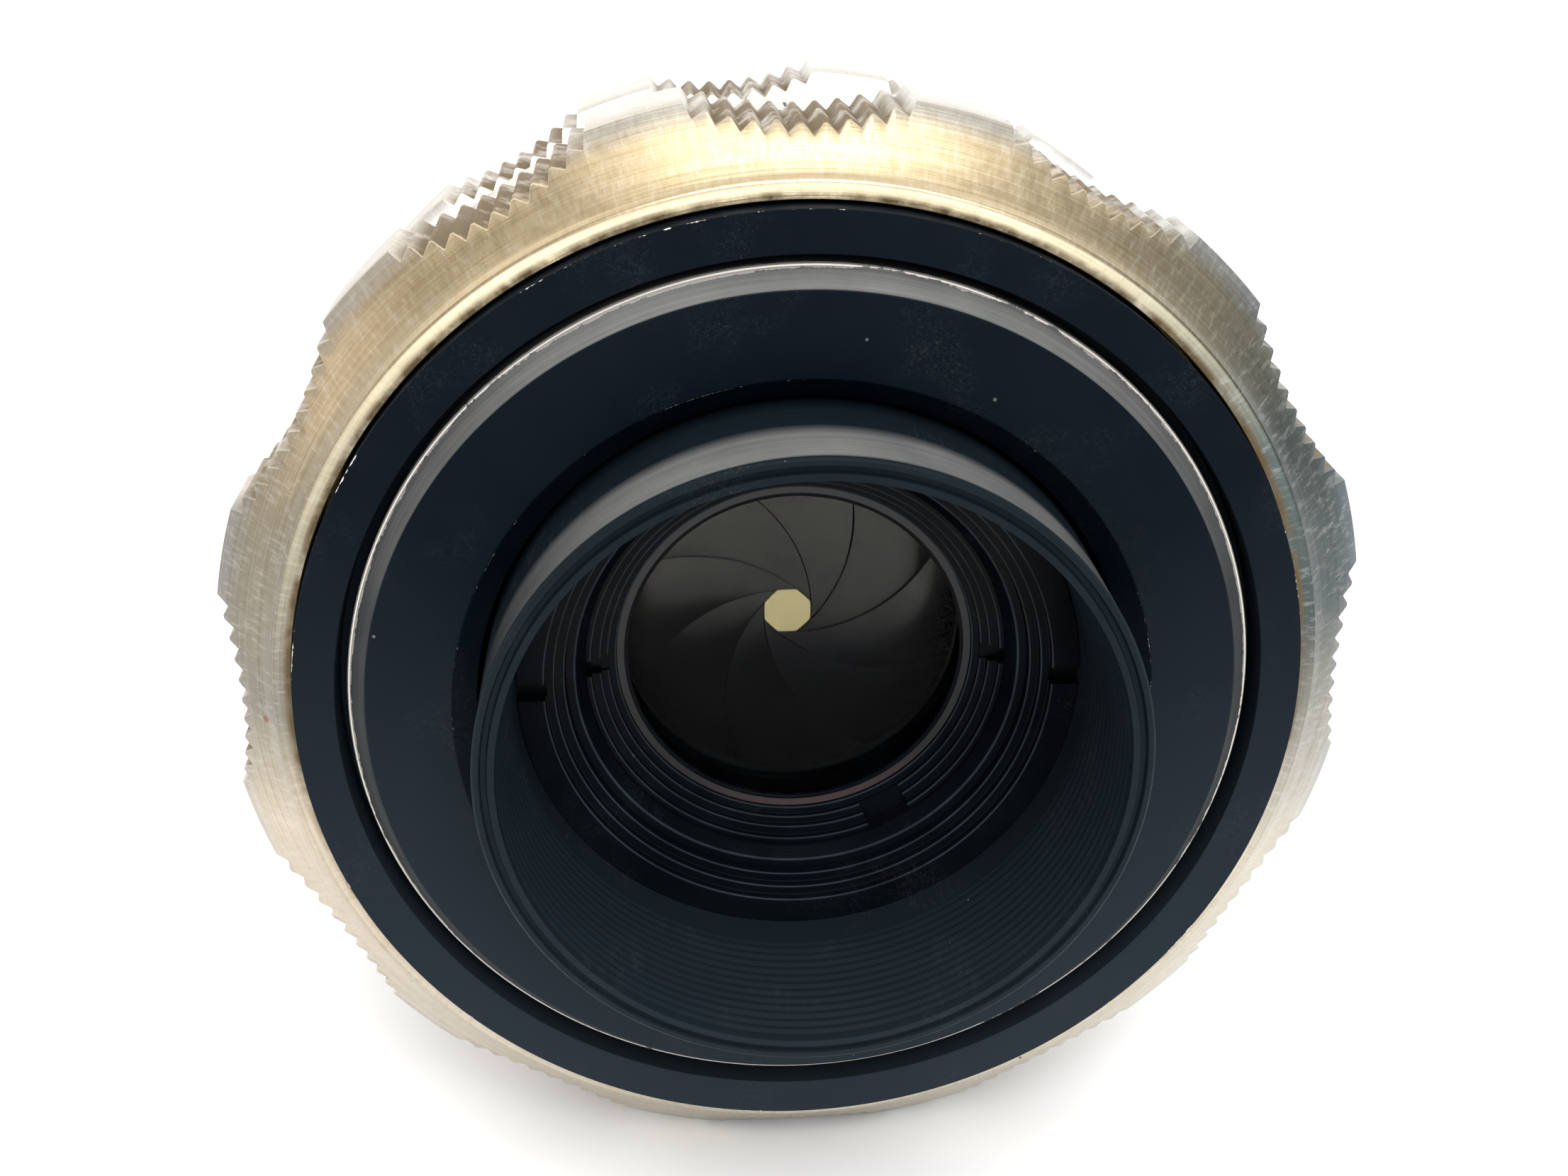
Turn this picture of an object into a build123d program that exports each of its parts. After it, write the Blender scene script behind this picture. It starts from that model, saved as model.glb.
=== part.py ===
from build123d import *
import os
from math import asin, atan2, cos, degrees, hypot, radians, sin, sqrt

# A small manual portrait lens with a preset eight-blade iris, lying on its side on its grip rings.
# Millimetres. The lens axis runs along Y: the rear (camera side) faces -Y, the front faces +Y.
# Parts are drawn in the lens frame, whose y = 0 is the flange face and whose axis is x = z = 0.
# The row frame stands the lens on the floor: its origin is under the middle of the lens.

# ---- driving dimensions -------------------------------------------------------------------
R_FLANGE = 25.0             # outer radius of the black camera flange
Y_REAR_RIM = -7.0           # rear end of the protruding tube
Y_FRONT = 38.0              # front end of the barrel
FOCUS_TRAVEL = 4.0          # how far the head moves forward from infinity to the near limit
FOCUS_TURN = 250.0          # degrees of focus ring turn for that travel
APERTURE_TURN = 40.0        # degrees of aperture ring turn from the smallest stop to full aperture
SLIDE_GAP = 0.05            # radial clearance of running fits

# grip rings: lands (full-radius pads) with scallops between them, each cut with V-grooves
FOCUS_GRIP = dict(radius=29.4, lands=12, first=15.0, half_land=4.53, dip=28.1, grooves=10, depth=0.48)
STOP_GRIP = dict(radius=28.2, lands=14, first=82.3, half_land=4.12, dip=27.2, grooves=8, depth=0.45)
GRIP_BEVEL = 0.3

# iris
BLADES = 8
OPEN_RADIUS = 9.0           # inner edge of every blade, and the full aperture
STOP_RADIUS = 1.27          # aperture radius at the smallest stop
BLADE_OUTER = 14.2
PIVOT_RADIUS = 15.6
BLADE_SPAN = 115.0          # degrees of arc from pivot to tip
BLADE_THICK = 0.08
BLADE_PITCH = 0.12
PIVOT_PIN = 0.5
DRIVE_PIN = 0.4
DRIVE_ARM = 3.0             # pivot to drive pin
BLADE_TURN = degrees(2 * asin((OPEN_RADIUS - STOP_RADIUS) / (2 * PIVOT_RADIUS)))
PIVOT_LEAD = 90.0 + BLADE_TURN / 2   # pivot's angle ahead of the point where the blade is innermost

# ---- stations along the axis (lens frame) ----------------------------------------------------
Y_BOSS = -0.5               # rear face of the mount boss
Y_FLANGE_BACK = 4.0         # front of the flange ring and boss, where the mount barrel seats
Y_MOUNT_FLOOR = 5.0         # front face of the mount barrel's own flange
Y_MOUNT_TOP = 12.6
Y_GRIP_BACK = 1.0           # rear lip of the focus ring
Y_GRIP_KNURL = (4.0, 9.3)
Y_GRIP_WEB = 9.2            # front face of the focus ring's inner flange
Y_SKIRT_END = 14.5
Y_INDEX = (14.6, 17.3)
Y_STOP_RING = (17.5, 22.5)
Y_STOP_HUB = (18.2, 20.6)
Y_SEAT = (10.6, 11.2)
Y_FIRST_BLADE = 11.25
Y_CAM = (12.35, 13.15)
Y_CAM_END = 20.6
Y_HEAD = (5.5, 26.0)
Y_DRIVE = 19.4              # plane of the aperture drive screw
Y_BARREL_WEB = (22.7, 25.2)
Y_THREAD = 34.0             # inner end of the filter thread

# ---- radii -----------------------------------------------------------------------------------
R_TUBE = 15.87              # rear tube, outside
R_TUBE_MOUTH = 14.8         # rear tube's bore at the rim
R_TUBE_BORE = 14.43         # rear tube's bore inside
R_BOSS = 22.44              # mount boss, outside
R_BOSS_BORE = 16.15
R_KEY = (18.05, 19.25)
R_HEAD = (17.9, 19.4)       # head barrel
R_MOUNT = (22.1, 23.6)      # mount barrel
R_HELICOID = (19.5, 21.9)   # brass helicoid's inner sleeve
R_HELICOID_OUT = (24.75, 25.5)
R_SLEEVE = (25.7, 26.5)
R_SKIRT = (26.6, 27.2)
R_INDEX = 27.0
R_CELL = 14.4               # pieces that screw into the rear tube
R_FRONT_CELL = 12.0
R_FRONT_BARREL = 23.0
R_THREAD = 21.5             # filter thread
R_CONE = 21.1
R_REAR_GLASS = 9.6
R_MID_GLASS = 8.8
R_FRONT_GLASS = 10.5

# ---- screws and the stop pin (radius, and distance from the axis) -----------------------------
STOP_PIN = 0.5
STOP_PIN_AT = 24.4
STOP_PIN_TOP = 6.1
MOUNT_SCREW_AT = 20.3
FLANGE_SCREW_AT = 24.3
HELICOID_SCREW = 0.35
HELICOID_SCREW_AT = 25.75
GRUB_SCREW = 0.8
GRUB_FOOT = 18.4            # inner end of the index and barrel grub screws
INDEX_SCREW_TOP = 26.6
BARREL_SCREW_TOP = 22.7
DRIVE_SCREW = 0.95
DRIVE_SCREW_FOOT = 16.9
DRIVE_SCREW_TOP = 26.2
Y_INDEX_SCREW = 16.0
Y_BARREL_SCREW = 23.9
SLOT_WIDTH = 0.3
SLOT_DEPTH = 0.45

# ---- angles seen from the rear, counter-clockwise from the right -------------------------------
MOUNT_SCREW_ANGLES = [20 + 60 * k for k in range(6)]
FLANGE_SCREW_ANGLES = [50 + 60 * k for k in range(6)]
KEY_ANGLES = [90, 270]
INDEX_SCREW_ANGLES = [30, 150, 270]
BARREL_SCREW_ANGLES = [60, 180, 300]
DRIVE_ANGLE = 240.0
STOP_PIN_ANGLE = 80.0

# ---- row frame ---------------------------------------------------------------------------------
REST_DROP = FOCUS_GRIP["radius"] * cos(radians(15.0 - FOCUS_GRIP["half_land"]))
Y_MIDDLE = (Y_REAR_RIM + Y_FRONT) / 2


# ---- helpers -----------------------------------------------------------------------------------
def turned(*outline):
    """Solid of revolution about the lens axis; the outline is a closed list of (radius, y)."""
    return revolve(make_face(Polyline(*outline, close=True)), Axis.Y)


def tube(r_in, r_out, y_rear, y_front):
    return turned((r_in, y_rear), (r_out, y_rear), (r_out, y_front), (r_in, y_front))


def at_angle(shape, angle):
    """Turn something drawn on the +X side to an angle seen from the rear."""
    return Rot(0, -angle, 0) * shape


def axial_rod(radius, from_axis, angle, y_rear, y_front):
    rod = Pos(from_axis, (y_rear + y_front) / 2, 0) * Rot(90, 0, 0) * Cylinder(radius, y_front - y_rear)
    return at_angle(rod, angle)


def radial_rod(radius, r_in, r_out, y, angle):
    rod = Pos((r_in + r_out) / 2, y, 0) * Rot(0, 90, 0) * Cylinder(radius, r_out - r_in)
    return at_angle(rod, angle)


def block(r_in, r_out, width, y_rear, y_front, angle):
    """Box across a radius, for keys and spanner slots."""
    middle = Pos((r_in + r_out) / 2, (y_rear + y_front) / 2, 0)
    return at_angle(middle * Box(r_out - r_in, y_front - y_rear, width), angle)


def sector(r_in, r_out, y_rear, y_front, start, end):
    """Ring segment from angle start to angle end, counter-clockwise seen from the rear."""
    face = make_face(Polyline((r_in, y_rear), (r_out, y_rear), (r_out, y_front), (r_in, y_front), close=True))
    return at_angle(revolve(face, Axis.Y, end - start), end)


def polar(radius, angle):
    return (radius * cos(radians(angle)), radius * sin(radians(angle)))


def plate(sketch, y_rear, thickness):
    """Flat piece whose sketch is drawn as seen from the rear (x right, z up)."""
    return extrude(Plane.XZ.offset(-y_rear) * sketch, amount=-thickness)


def joined(shapes):
    return Compound([shape.solid() for shape in shapes])


def merged(shapes):
    """One cutting tool out of several separate shapes."""
    tool = shapes[0]
    for shape in shapes[1:]:
        tool += shape
    return tool


# ---- grip rings ----------------------------------------------------------------------------------
def grip_outline(radius, lands, first, half_land, dip, grooves, depth):
    """Outline of a knurled grip: smooth lands, and scallops whose surface carries V-grooves."""
    pitch = 360 / lands
    half_gap = pitch / 2 - half_land
    edge_x, edge_y = polar(radius, half_gap)
    cutter = (edge_y ** 2 + (edge_x - dip) ** 2) / (2 * (edge_x - dip))
    centre = dip + cutter
    half_cut = degrees(atan2(edge_y, centre - edge_x))
    edges = ShapeList()
    for land in range(lands):
        angle = first + pitch * land
        ends = [polar(radius, angle + side * half_land) for side in (-1, 1)]
        edges += ThreePointArc(ends[0], polar(radius, angle), ends[1]).edges()
        middle = angle + pitch / 2
        rim = []
        for step in range(2 * grooves + 1):
            reach = cutter + (depth if step % 2 else 0)
            swing = radians(half_cut * (step / grooves - 1))
            x, y = centre - reach * cos(swing), reach * sin(swing)
            rim.append(polar(hypot(x, y), middle + degrees(atan2(y, x))))
        rim[0] = ends[1]
        rim[-1] = polar(radius, angle + pitch - half_land)
        edges += Polyline(*rim).edges()
    return make_face(Wire(edges))


def focus_grip_ring():
    rear, front = Y_GRIP_KNURL
    radius = FOCUS_GRIP["radius"]
    lip = 26.0
    blank = turned(
        (R_FLANGE + 0.15, Y_GRIP_BACK), (lip - 0.1, Y_GRIP_BACK), (lip, Y_GRIP_BACK + 0.2),
        (radius - 0.45, rear - 0.2), (radius, rear + GRIP_BEVEL), (radius, front - GRIP_BEVEL),
        (radius - GRIP_BEVEL, front), (R_SKIRT[1], front), (R_SKIRT[1], Y_SKIRT_END),
        (R_SKIRT[0], Y_SKIRT_END), (R_SKIRT[0], Y_GRIP_WEB), (R_MOUNT[1] + SLIDE_GAP, Y_GRIP_WEB),
        (R_MOUNT[1] + SLIDE_GAP, Y_MOUNT_FLOOR + 0.1), (R_FLANGE + 0.15, Y_MOUNT_FLOOR + 0.1),
    )
    ring = blank & plate(grip_outline(**FOCUS_GRIP), Y_GRIP_BACK, Y_SKIRT_END - Y_GRIP_BACK)
    # blind arc groove for the stop pin: it lets the ring turn from infinity to the near limit
    pin_room = degrees(STOP_PIN / STOP_PIN_AT) + 0.3
    groove = sector(STOP_PIN_AT - 0.6, STOP_PIN_AT + 0.6, Y_MOUNT_FLOOR, STOP_PIN_TOP + 0.2,
                    STOP_PIN_ANGLE - pin_room, STOP_PIN_ANGLE + FOCUS_TURN + pin_room)
    ring -= groove
    for angle in MOUNT_SCREW_ANGLES:
        ring -= axial_rod(HELICOID_SCREW, HELICOID_SCREW_AT, angle, Y_GRIP_WEB - 1.7, Y_GRIP_WEB)
    return ring


def aperture_ring():
    rear, front = Y_STOP_RING
    radius = STOP_GRIP["radius"]
    scale_radius, scale_end = 26.0, 25.5
    bore = R_FRONT_BARREL + 0.2
    blank = turned(
        (R_HEAD[1] + SLIDE_GAP, Y_STOP_HUB[0]), (bore, Y_STOP_HUB[0]), (bore, rear),
        (radius - GRIP_BEVEL, rear), (radius, rear + GRIP_BEVEL), (radius, front - GRIP_BEVEL),
        (radius - GRIP_BEVEL, front), (scale_radius, front), (scale_radius, scale_end),
        (bore, scale_end), (bore, Y_STOP_HUB[1]), (R_HEAD[1] + SLIDE_GAP, Y_STOP_HUB[1]),
    )
    ring = blank & plate(grip_outline(**STOP_GRIP), rear, scale_end - rear)
    return ring - radial_rod(DRIVE_SCREW, R_HEAD[1], radius + 1, Y_DRIVE, DRIVE_ANGLE)


# ---- mount ---------------------------------------------------------------------------------------

def countersunk(shank, head, from_axis, angle, y_tip, y_neck, y_face):
    """Flat-head screw pointing to the rear, its head flush with y_face."""
    rod = turned((0, y_tip), (shank, y_tip), (shank, y_neck), (head, y_face), (0, y_face))
    return at_angle(Pos(from_axis, 0, 0) * rod, angle)


def mount_screw_set():
    return [countersunk(0.6, 1.2, MOUNT_SCREW_AT, angle, 1.5, Y_FLANGE_BACK + 0.4, Y_MOUNT_FLOOR)
            for angle in MOUNT_SCREW_ANGLES]


def flange_screw_set():
    return [countersunk(0.35, 0.6, FLANGE_SCREW_AT, angle, 2.6, Y_MOUNT_FLOOR - 0.25, Y_MOUNT_FLOOR)
            for angle in FLANGE_SCREW_ANGLES]


def key_pegs():
    middle = (R_KEY[0] + R_KEY[1]) / 2
    return [axial_rod(0.45, middle, angle, Y_FLANGE_BACK + 0.2, Y_MOUNT_FLOOR) for angle in KEY_ANGLES]


def guide_keys():
    """Two upright keys that keep the head from turning; each stands on a peg in the flange."""
    width, top = 2.8, 12.0
    keys = []
    for angle, peg in zip(KEY_ANGLES, key_pegs()):
        keys.append(block(*R_KEY, width, Y_MOUNT_FLOOR, top, angle) + peg)
    return joined(keys)


def stop_pin():
    return axial_rod(STOP_PIN, STOP_PIN_AT, STOP_PIN_ANGLE, Y_FLANGE_BACK, STOP_PIN_TOP)


def mount_boss():
    chamfer_foot, land_edge = 0.8, 21.43
    boss = turned((R_BOSS_BORE, 0.65), (17.3, Y_BOSS), (land_edge, Y_BOSS), (R_BOSS, chamfer_foot),
                  (R_BOSS, Y_FLANGE_BACK), (R_BOSS_BORE, Y_FLANGE_BACK))
    for screw in mount_screw_set():
        boss -= screw
    return boss


def rear_flange_ring():
    gap, floor = 0.51, 2.2
    ring = turned((R_BOSS + gap, 0), (R_FLANGE, 0), (R_FLANGE, Y_FLANGE_BACK), (R_BOSS, Y_FLANGE_BACK),
                  (R_BOSS, floor), (R_BOSS + gap, floor))
    for screw in flange_screw_set():
        ring -= screw
    return ring


def mount_barrel():
    bore = R_BOSS_BORE + 0.15
    barrel = turned((bore, Y_FLANGE_BACK), (R_FLANGE, Y_FLANGE_BACK), (R_FLANGE, Y_MOUNT_FLOOR),
                    (R_MOUNT[1], Y_MOUNT_FLOOR), (R_MOUNT[1], Y_MOUNT_TOP), (R_MOUNT[0], Y_MOUNT_TOP),
                    (R_MOUNT[0], Y_MOUNT_FLOOR), (bore, Y_MOUNT_FLOOR))
    for piece in mount_screw_set() + flange_screw_set() + key_pegs() + [stop_pin()]:
        barrel -= piece
    return barrel


def focus_retaining_ring():
    outer = R_HELICOID_OUT[0] - SLIDE_GAP
    ring = tube(R_MOUNT[1], outer, Y_GRIP_WEB + 0.05, Y_GRIP_WEB + 1.1)
    for angle in (0, 180):
        ring -= block(R_MOUNT[1] + 0.4, outer + 1, 1.2, Y_GRIP_WEB + 0.7, Y_GRIP_WEB + 2, angle)
    return ring


# ---- focusing helicoid -----------------------------------------------------------------------------
def helicoid_screw_set():
    """Each screw: shank in the grip ring's web, head sunk in the helicoid's foot."""
    shank_end, neck, head_top = Y_GRIP_WEB - 1.7, Y_GRIP_WEB + 0.4, Y_GRIP_WEB + 0.9
    screws = []
    for angle in MOUNT_SCREW_ANGLES:
        shank = axial_rod(HELICOID_SCREW, HELICOID_SCREW_AT, angle, shank_end, neck)
        screws.append(shank + axial_rod(0.6, HELICOID_SCREW_AT, angle, neck, head_top))
    return screws


def focus_helicoid():
    """Brass U-section: threaded sleeve on the head, outer sleeve screwed to the grip ring."""
    rear, web = Y_MOUNT_FLOOR + 0.3, (12.8, 14.0)
    foot_radius, foot_top = 26.5, Y_GRIP_WEB + 0.95
    body = turned((R_HELICOID[0], rear), (R_HELICOID[1], rear), (R_HELICOID[1], web[0]),
                  (R_HELICOID_OUT[0], web[0]), (R_HELICOID_OUT[0], Y_GRIP_WEB), (foot_radius, Y_GRIP_WEB),
                  (foot_radius, foot_top), (R_HELICOID_OUT[1], foot_top), (R_HELICOID_OUT[1], web[1]),
                  (R_HELICOID[0], web[1]))
    for screw in helicoid_screw_set():
        body -= screw
    return body


# ---- optical head ------------------------------------------------------------------------------------
def lens_element(radius, edge_rear, rear_vertex, edge_front, front_vertex):
    """Glass disc with a spherical face at each end."""
    def sphere_face(vertex, edge):
        half = radius / 2
        sag = edge - vertex
        ball = (radius ** 2 + sag ** 2) / (2 * abs(sag))
        rise = ball - sqrt(ball ** 2 - half ** 2)
        return ThreePointArc((0, vertex), (half, vertex + (rise if sag > 0 else -rise)), (radius, edge))

    outline = sphere_face(rear_vertex, edge_rear)
    outline += Line((radius, edge_rear), (radius, edge_front))
    outline += sphere_face(front_vertex, edge_front)
    outline += Line((0, front_vertex), (0, rear_vertex))
    return revolve(make_face(outline), Axis.Y)


def rear_tube():
    """Protruding rear tube: grooved rim, bore with fine anti-reflection grooves, seat flange."""
    front, flange = 10.0, 9.0
    grooves, groove_depth = 13, 0.16
    bore_end = 0.86
    pitch = (bore_end - Y_REAR_RIM - 0.3) / grooves
    bore = [(R_TUBE_MOUTH, Y_REAR_RIM)]
    for step in range(grooves):
        y = Y_REAR_RIM + 0.3 + pitch * step
        radius = R_TUBE_MOUTH + (R_TUBE_BORE - R_TUBE_MOUTH) * (step + 1) / grooves
        bore += [(radius, y), (radius + groove_depth, y + pitch * 0.45)]
    bore += [(R_TUBE_BORE, bore_end), (R_TUBE_BORE, front)]
    body = turned(*bore, (R_HEAD[0], front), (R_HEAD[0], flange), (R_TUBE, flange), (R_TUBE, Y_REAR_RIM))
    return body - tube(15.15, 15.5, Y_REAR_RIM, Y_REAR_RIM + 0.35)


def outer_lock_ring():
    steps = [(R_CELL, 2.8), (13.0, 2.8), (13.0, 3.3), (12.5, 3.3), (12.5, 3.8), (12.0, 3.8)]
    ring = turned(*steps, (12.0, 5.6), (R_CELL, 5.6))
    for angle in (0, 180):
        ring -= block(12.9, R_CELL + 1, 0.95, 2, 3.6, angle)
    return ring


def stepped_baffle():
    return turned((12.0, 4.4), (11.5, 4.4), (11.0, 5.1), (11.0, 5.9), (12.0, 5.9))


def rear_lock_ring():
    outline = [(11.0, 5.3), (10.7, 5.3), (10.7, 5.7), (10.2, 5.7), (10.2, 6.05), (9.8, 6.05),
               (9.8, 6.4), (9.4, 6.4), (9.4, 6.65), (8.8, 6.65), (8.8, 6.9), (11.0, 6.9)]
    ring = turned(*outline)
    for angle, width in ((0, 0.9), (180, 0.9), (-62, 2.4)):
        ring -= block(9.5, 12, width, 5, 6.2, angle)
    return ring


def rear_cell():
    return turned((R_CELL, 5.6), (12.0, 5.6), (12.0, 5.9), (11.0, 5.9), (11.0, 6.9),
                  (R_REAR_GLASS, 6.9), (R_REAR_GLASS, 10.0), (9.2, 10.0), (9.2, 10.5), (R_CELL, 10.5))


def iris_seat_ring():
    ring = tube(9.4, R_HEAD[0], *Y_SEAT)
    for blade in range(BLADES):
        ring -= axial_rod(PIVOT_PIN + SLIDE_GAP, PIVOT_RADIUS, pivot_angle(blade), *Y_SEAT)
    return ring


def grub_holes(r_out, y, angles):
    return merged([radial_rod(GRUB_SCREW, GRUB_FOOT, r_out, y, angle) for angle in angles])


def slotted(radius, r_in, r_out, y, angle):
    """Headless screw lying along a radius, with a screwdriver slot in its outer end."""
    rod = radial_rod(radius, r_in, r_out, y, angle)
    return rod - block(r_out - SLOT_DEPTH, r_out + 1, SLOT_WIDTH, y - 2 * radius, y + 2 * radius, angle)


def index_screws():
    return joined([slotted(GRUB_SCREW, GRUB_FOOT, INDEX_SCREW_TOP, Y_INDEX_SCREW, angle)
                   for angle in INDEX_SCREW_ANGLES])


def barrel_screws():
    return joined([slotted(GRUB_SCREW, GRUB_FOOT, BARREL_SCREW_TOP, Y_BARREL_SCREW, angle)
                   for angle in BARREL_SCREW_ANGLES])


def head_barrel():
    barrel = tube(*R_HEAD, *Y_HEAD)
    for angle in KEY_ANGLES:
        barrel -= block(R_HEAD[0] - 0.5, R_HEAD[1] + 0.5, 3.0, Y_HEAD[0] - 1, 12.5, angle)
    half_height = DRIVE_SCREW + SLIDE_GAP
    end_room = degrees(DRIVE_SCREW / R_HEAD[0]) + 0.3
    barrel -= sector(R_HEAD[0] - 0.2, R_HEAD[1] + 0.2, Y_DRIVE - half_height, Y_DRIVE + half_height,
                     DRIVE_ANGLE - APERTURE_TURN - end_room, DRIVE_ANGLE + end_room)
    barrel -= grub_holes(R_HEAD[1] + 1, Y_INDEX_SCREW, INDEX_SCREW_ANGLES)
    return barrel - grub_holes(R_HEAD[1] + 1, Y_BARREL_SCREW, BARREL_SCREW_ANGLES)


def index_ring():
    ring = tube(R_HEAD[1], R_INDEX, *Y_INDEX)
    return ring - grub_holes(R_INDEX + 1, Y_INDEX_SCREW, INDEX_SCREW_ANGLES)


def front_cell():
    cell = turned((8.2, 14.3), (R_FRONT_CELL, 14.3), (R_FRONT_CELL, 20.9), (R_HEAD[0], 20.9),
                  (R_HEAD[0], 25.4), (11.9, 25.4), (11.9, 24.2), (R_FRONT_GLASS, 24.2),
                  (R_FRONT_GLASS, 17.2), (R_MID_GLASS, 17.2), (R_MID_GLASS, 14.8), (8.2, 14.8))
    return cell - grub_holes(R_HEAD[1], Y_BARREL_SCREW, BARREL_SCREW_ANGLES)


def element_spacer():
    return turned((8.4, 17.2), (R_FRONT_GLASS, 17.2), (R_FRONT_GLASS, 19.3), (9.6, 19.3))


def front_lock_ring():
    ring = turned((9.7, 23.1), (R_FRONT_GLASS, 23.1), (R_FRONT_GLASS, 24.2), (11.9, 24.2),
                  (11.9, 25.4), (10.4, 25.4))
    for angle in (0, 180):
        ring -= block(10.6, 13, 1.0, 24.8, 26, angle)
    return ring


def name_ring():
    return turned((11.9, 25.4), (17.2, 25.4), (17.2, 26.6), (12.4, 26.2))


def front_cone():
    """Stepped light baffle between the name ring and the filter thread."""
    rear, steps, inner, outer, top = 26.0, 9, 17.3, R_CONE - 0.4, 33.0
    outline = [(inner, rear), (R_CONE, rear), (R_CONE, top), (outer, top)]
    run, rise = (outer - inner) / steps, (top - rear - 0.6) / steps
    for step in range(steps):
        low = top - rise * (step + 1)
        outline += [(outer - run * step, low), (outer - run * (step + 1), low)]
    return turned(*outline)


def front_barrel():
    rear, web = Y_BARREL_WEB
    barrel = turned((R_HEAD[1], rear), (R_FRONT_BARREL, rear), (R_FRONT_BARREL, Y_FRONT),
                    (R_THREAD, Y_FRONT), (R_THREAD, Y_THREAD), (R_CONE, Y_THREAD), (R_CONE, web),
                    (R_HEAD[1], web))
    return barrel - grub_holes(R_FRONT_BARREL + 1, Y_BARREL_SCREW, BARREL_SCREW_ANGLES)


# ---- iris ------------------------------------------------------------------------------------------
def contact_angle(blade):
    return 360 / BLADES * blade


def pivot_angle(blade):
    return contact_angle(blade) + PIVOT_LEAD


def drive_pin_at(blade, opening):
    """Drive pin's place, seen from the rear, at an opening from 0 (smallest stop) to 1 (full)."""
    angle = pivot_angle(blade)
    px, pz = polar(PIVOT_RADIUS, angle)
    dx, dz = polar(DRIVE_ARM, angle + 90 + BLADE_TURN * (opening - 0.5))
    return (px + dx, pz + dz)


def iris_blade(blade):
    """Blade drawn wide open round the lens axis, then swung about its pivot to the smallest stop."""
    angle = pivot_angle(blade)
    tip = angle - BLADE_SPAN
    middle = (angle + tip) / 2
    start = angle + 3
    tip_round = polar((OPEN_RADIUS + BLADE_OUTER) / 2, tip - 8)
    outline = ThreePointArc(polar(OPEN_RADIUS, start), polar(OPEN_RADIUS, middle), polar(OPEN_RADIUS, tip))
    outline += ThreePointArc(polar(OPEN_RADIUS, tip), tip_round, polar(BLADE_OUTER, tip))
    outline += ThreePointArc(polar(BLADE_OUTER, tip), polar(BLADE_OUTER, middle), polar(BLADE_OUTER, start))
    outline += Line(polar(BLADE_OUTER, start), polar(OPEN_RADIUS, start))
    band = make_face(outline)
    pivot, drive = polar(PIVOT_RADIUS, angle), drive_pin_at(blade, 1)
    root = Pos(*polar(BLADE_OUTER - 1.4, angle - 4)) * Circle(1.1)
    eyes = [Pos(*pivot) * Circle(1.0), Pos(*drive) * Circle(0.8), root]
    tab = make_hull([eye.edge() for eye in eyes])
    y_rear = Y_FIRST_BLADE + BLADE_PITCH * blade
    y_front = y_rear + BLADE_THICK
    leaf = plate(band + tab, y_rear, BLADE_THICK)
    leaf += plate(Pos(*pivot) * Circle(PIVOT_PIN), Y_SEAT[0] + 0.1, y_rear - Y_SEAT[0] - 0.1)
    leaf += plate(Pos(*drive) * Circle(DRIVE_PIN), y_front, Y_CAM[1] - 0.1 - y_front)
    hinge = Axis((pivot[0], 0, pivot[1]), (0, 1, 0))
    return leaf.rotate(hinge, BLADE_TURN)


def cam_slot(blade):
    """Slot that carries a blade's drive pin at a constant ratio of ring turn to blade turn."""
    points = []
    stations = 9
    for step in range(stations):
        opening = step / (stations - 1)
        x, z = drive_pin_at(blade, opening)
        points.append(polar(hypot(x, z), degrees(atan2(z, x)) + APERTURE_TURN * opening))
    path = Spline(*points)
    width = DRIVE_PIN + SLIDE_GAP
    sides = []
    for side in (-1, 1):
        sides.append([slot_point(path, step / (stations - 1), side * width) for step in range(stations)])
    left, right = Spline(*sides[0]), Spline(*sides[1])
    start_cap = ThreePointArc(sides[0][0], slot_end(path, 0, -width), sides[1][0])
    end_cap = ThreePointArc(sides[0][-1], slot_end(path, 1, width), sides[1][-1])
    return make_face(left + end_cap + right + start_cap)


def slot_point(path, place, offset):
    """Point beside the slot's centre line."""
    at, way = path @ place, path % place
    return (at.X - way.Y * offset, at.Y + way.X * offset)


def slot_end(path, place, reach):
    """Point past the end of the slot's centre line."""
    at, way = path @ place, path % place
    return (at.X + way.X * reach, at.Y + way.Y * reach)


def iris_cam_ring():
    """Disc with eight curved slots and a sleeve that takes the drive screw."""
    outer = R_HEAD[0] - 0.2
    inner = outer - 0.8
    ring = turned((9.6, Y_CAM[0]), (outer, Y_CAM[0]), (outer, Y_CAM_END), (inner, Y_CAM_END),
                  (inner, Y_CAM[1]), (9.6, Y_CAM[1]))
    for blade in range(BLADES):
        ring -= plate(cam_slot(blade), Y_CAM[0] - 0.1, Y_CAM[1] - Y_CAM[0] + 0.2)
    return ring - radial_rod(DRIVE_SCREW, DRIVE_SCREW_FOOT, outer + 1, Y_DRIVE, DRIVE_ANGLE)


def drive_screw():
    """Slotted screw that ties the cam ring to the aperture ring through the head's window."""
    return slotted(DRIVE_SCREW, DRIVE_SCREW_FOOT, DRIVE_SCREW_TOP, Y_DRIVE, DRIVE_ANGLE)


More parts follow.
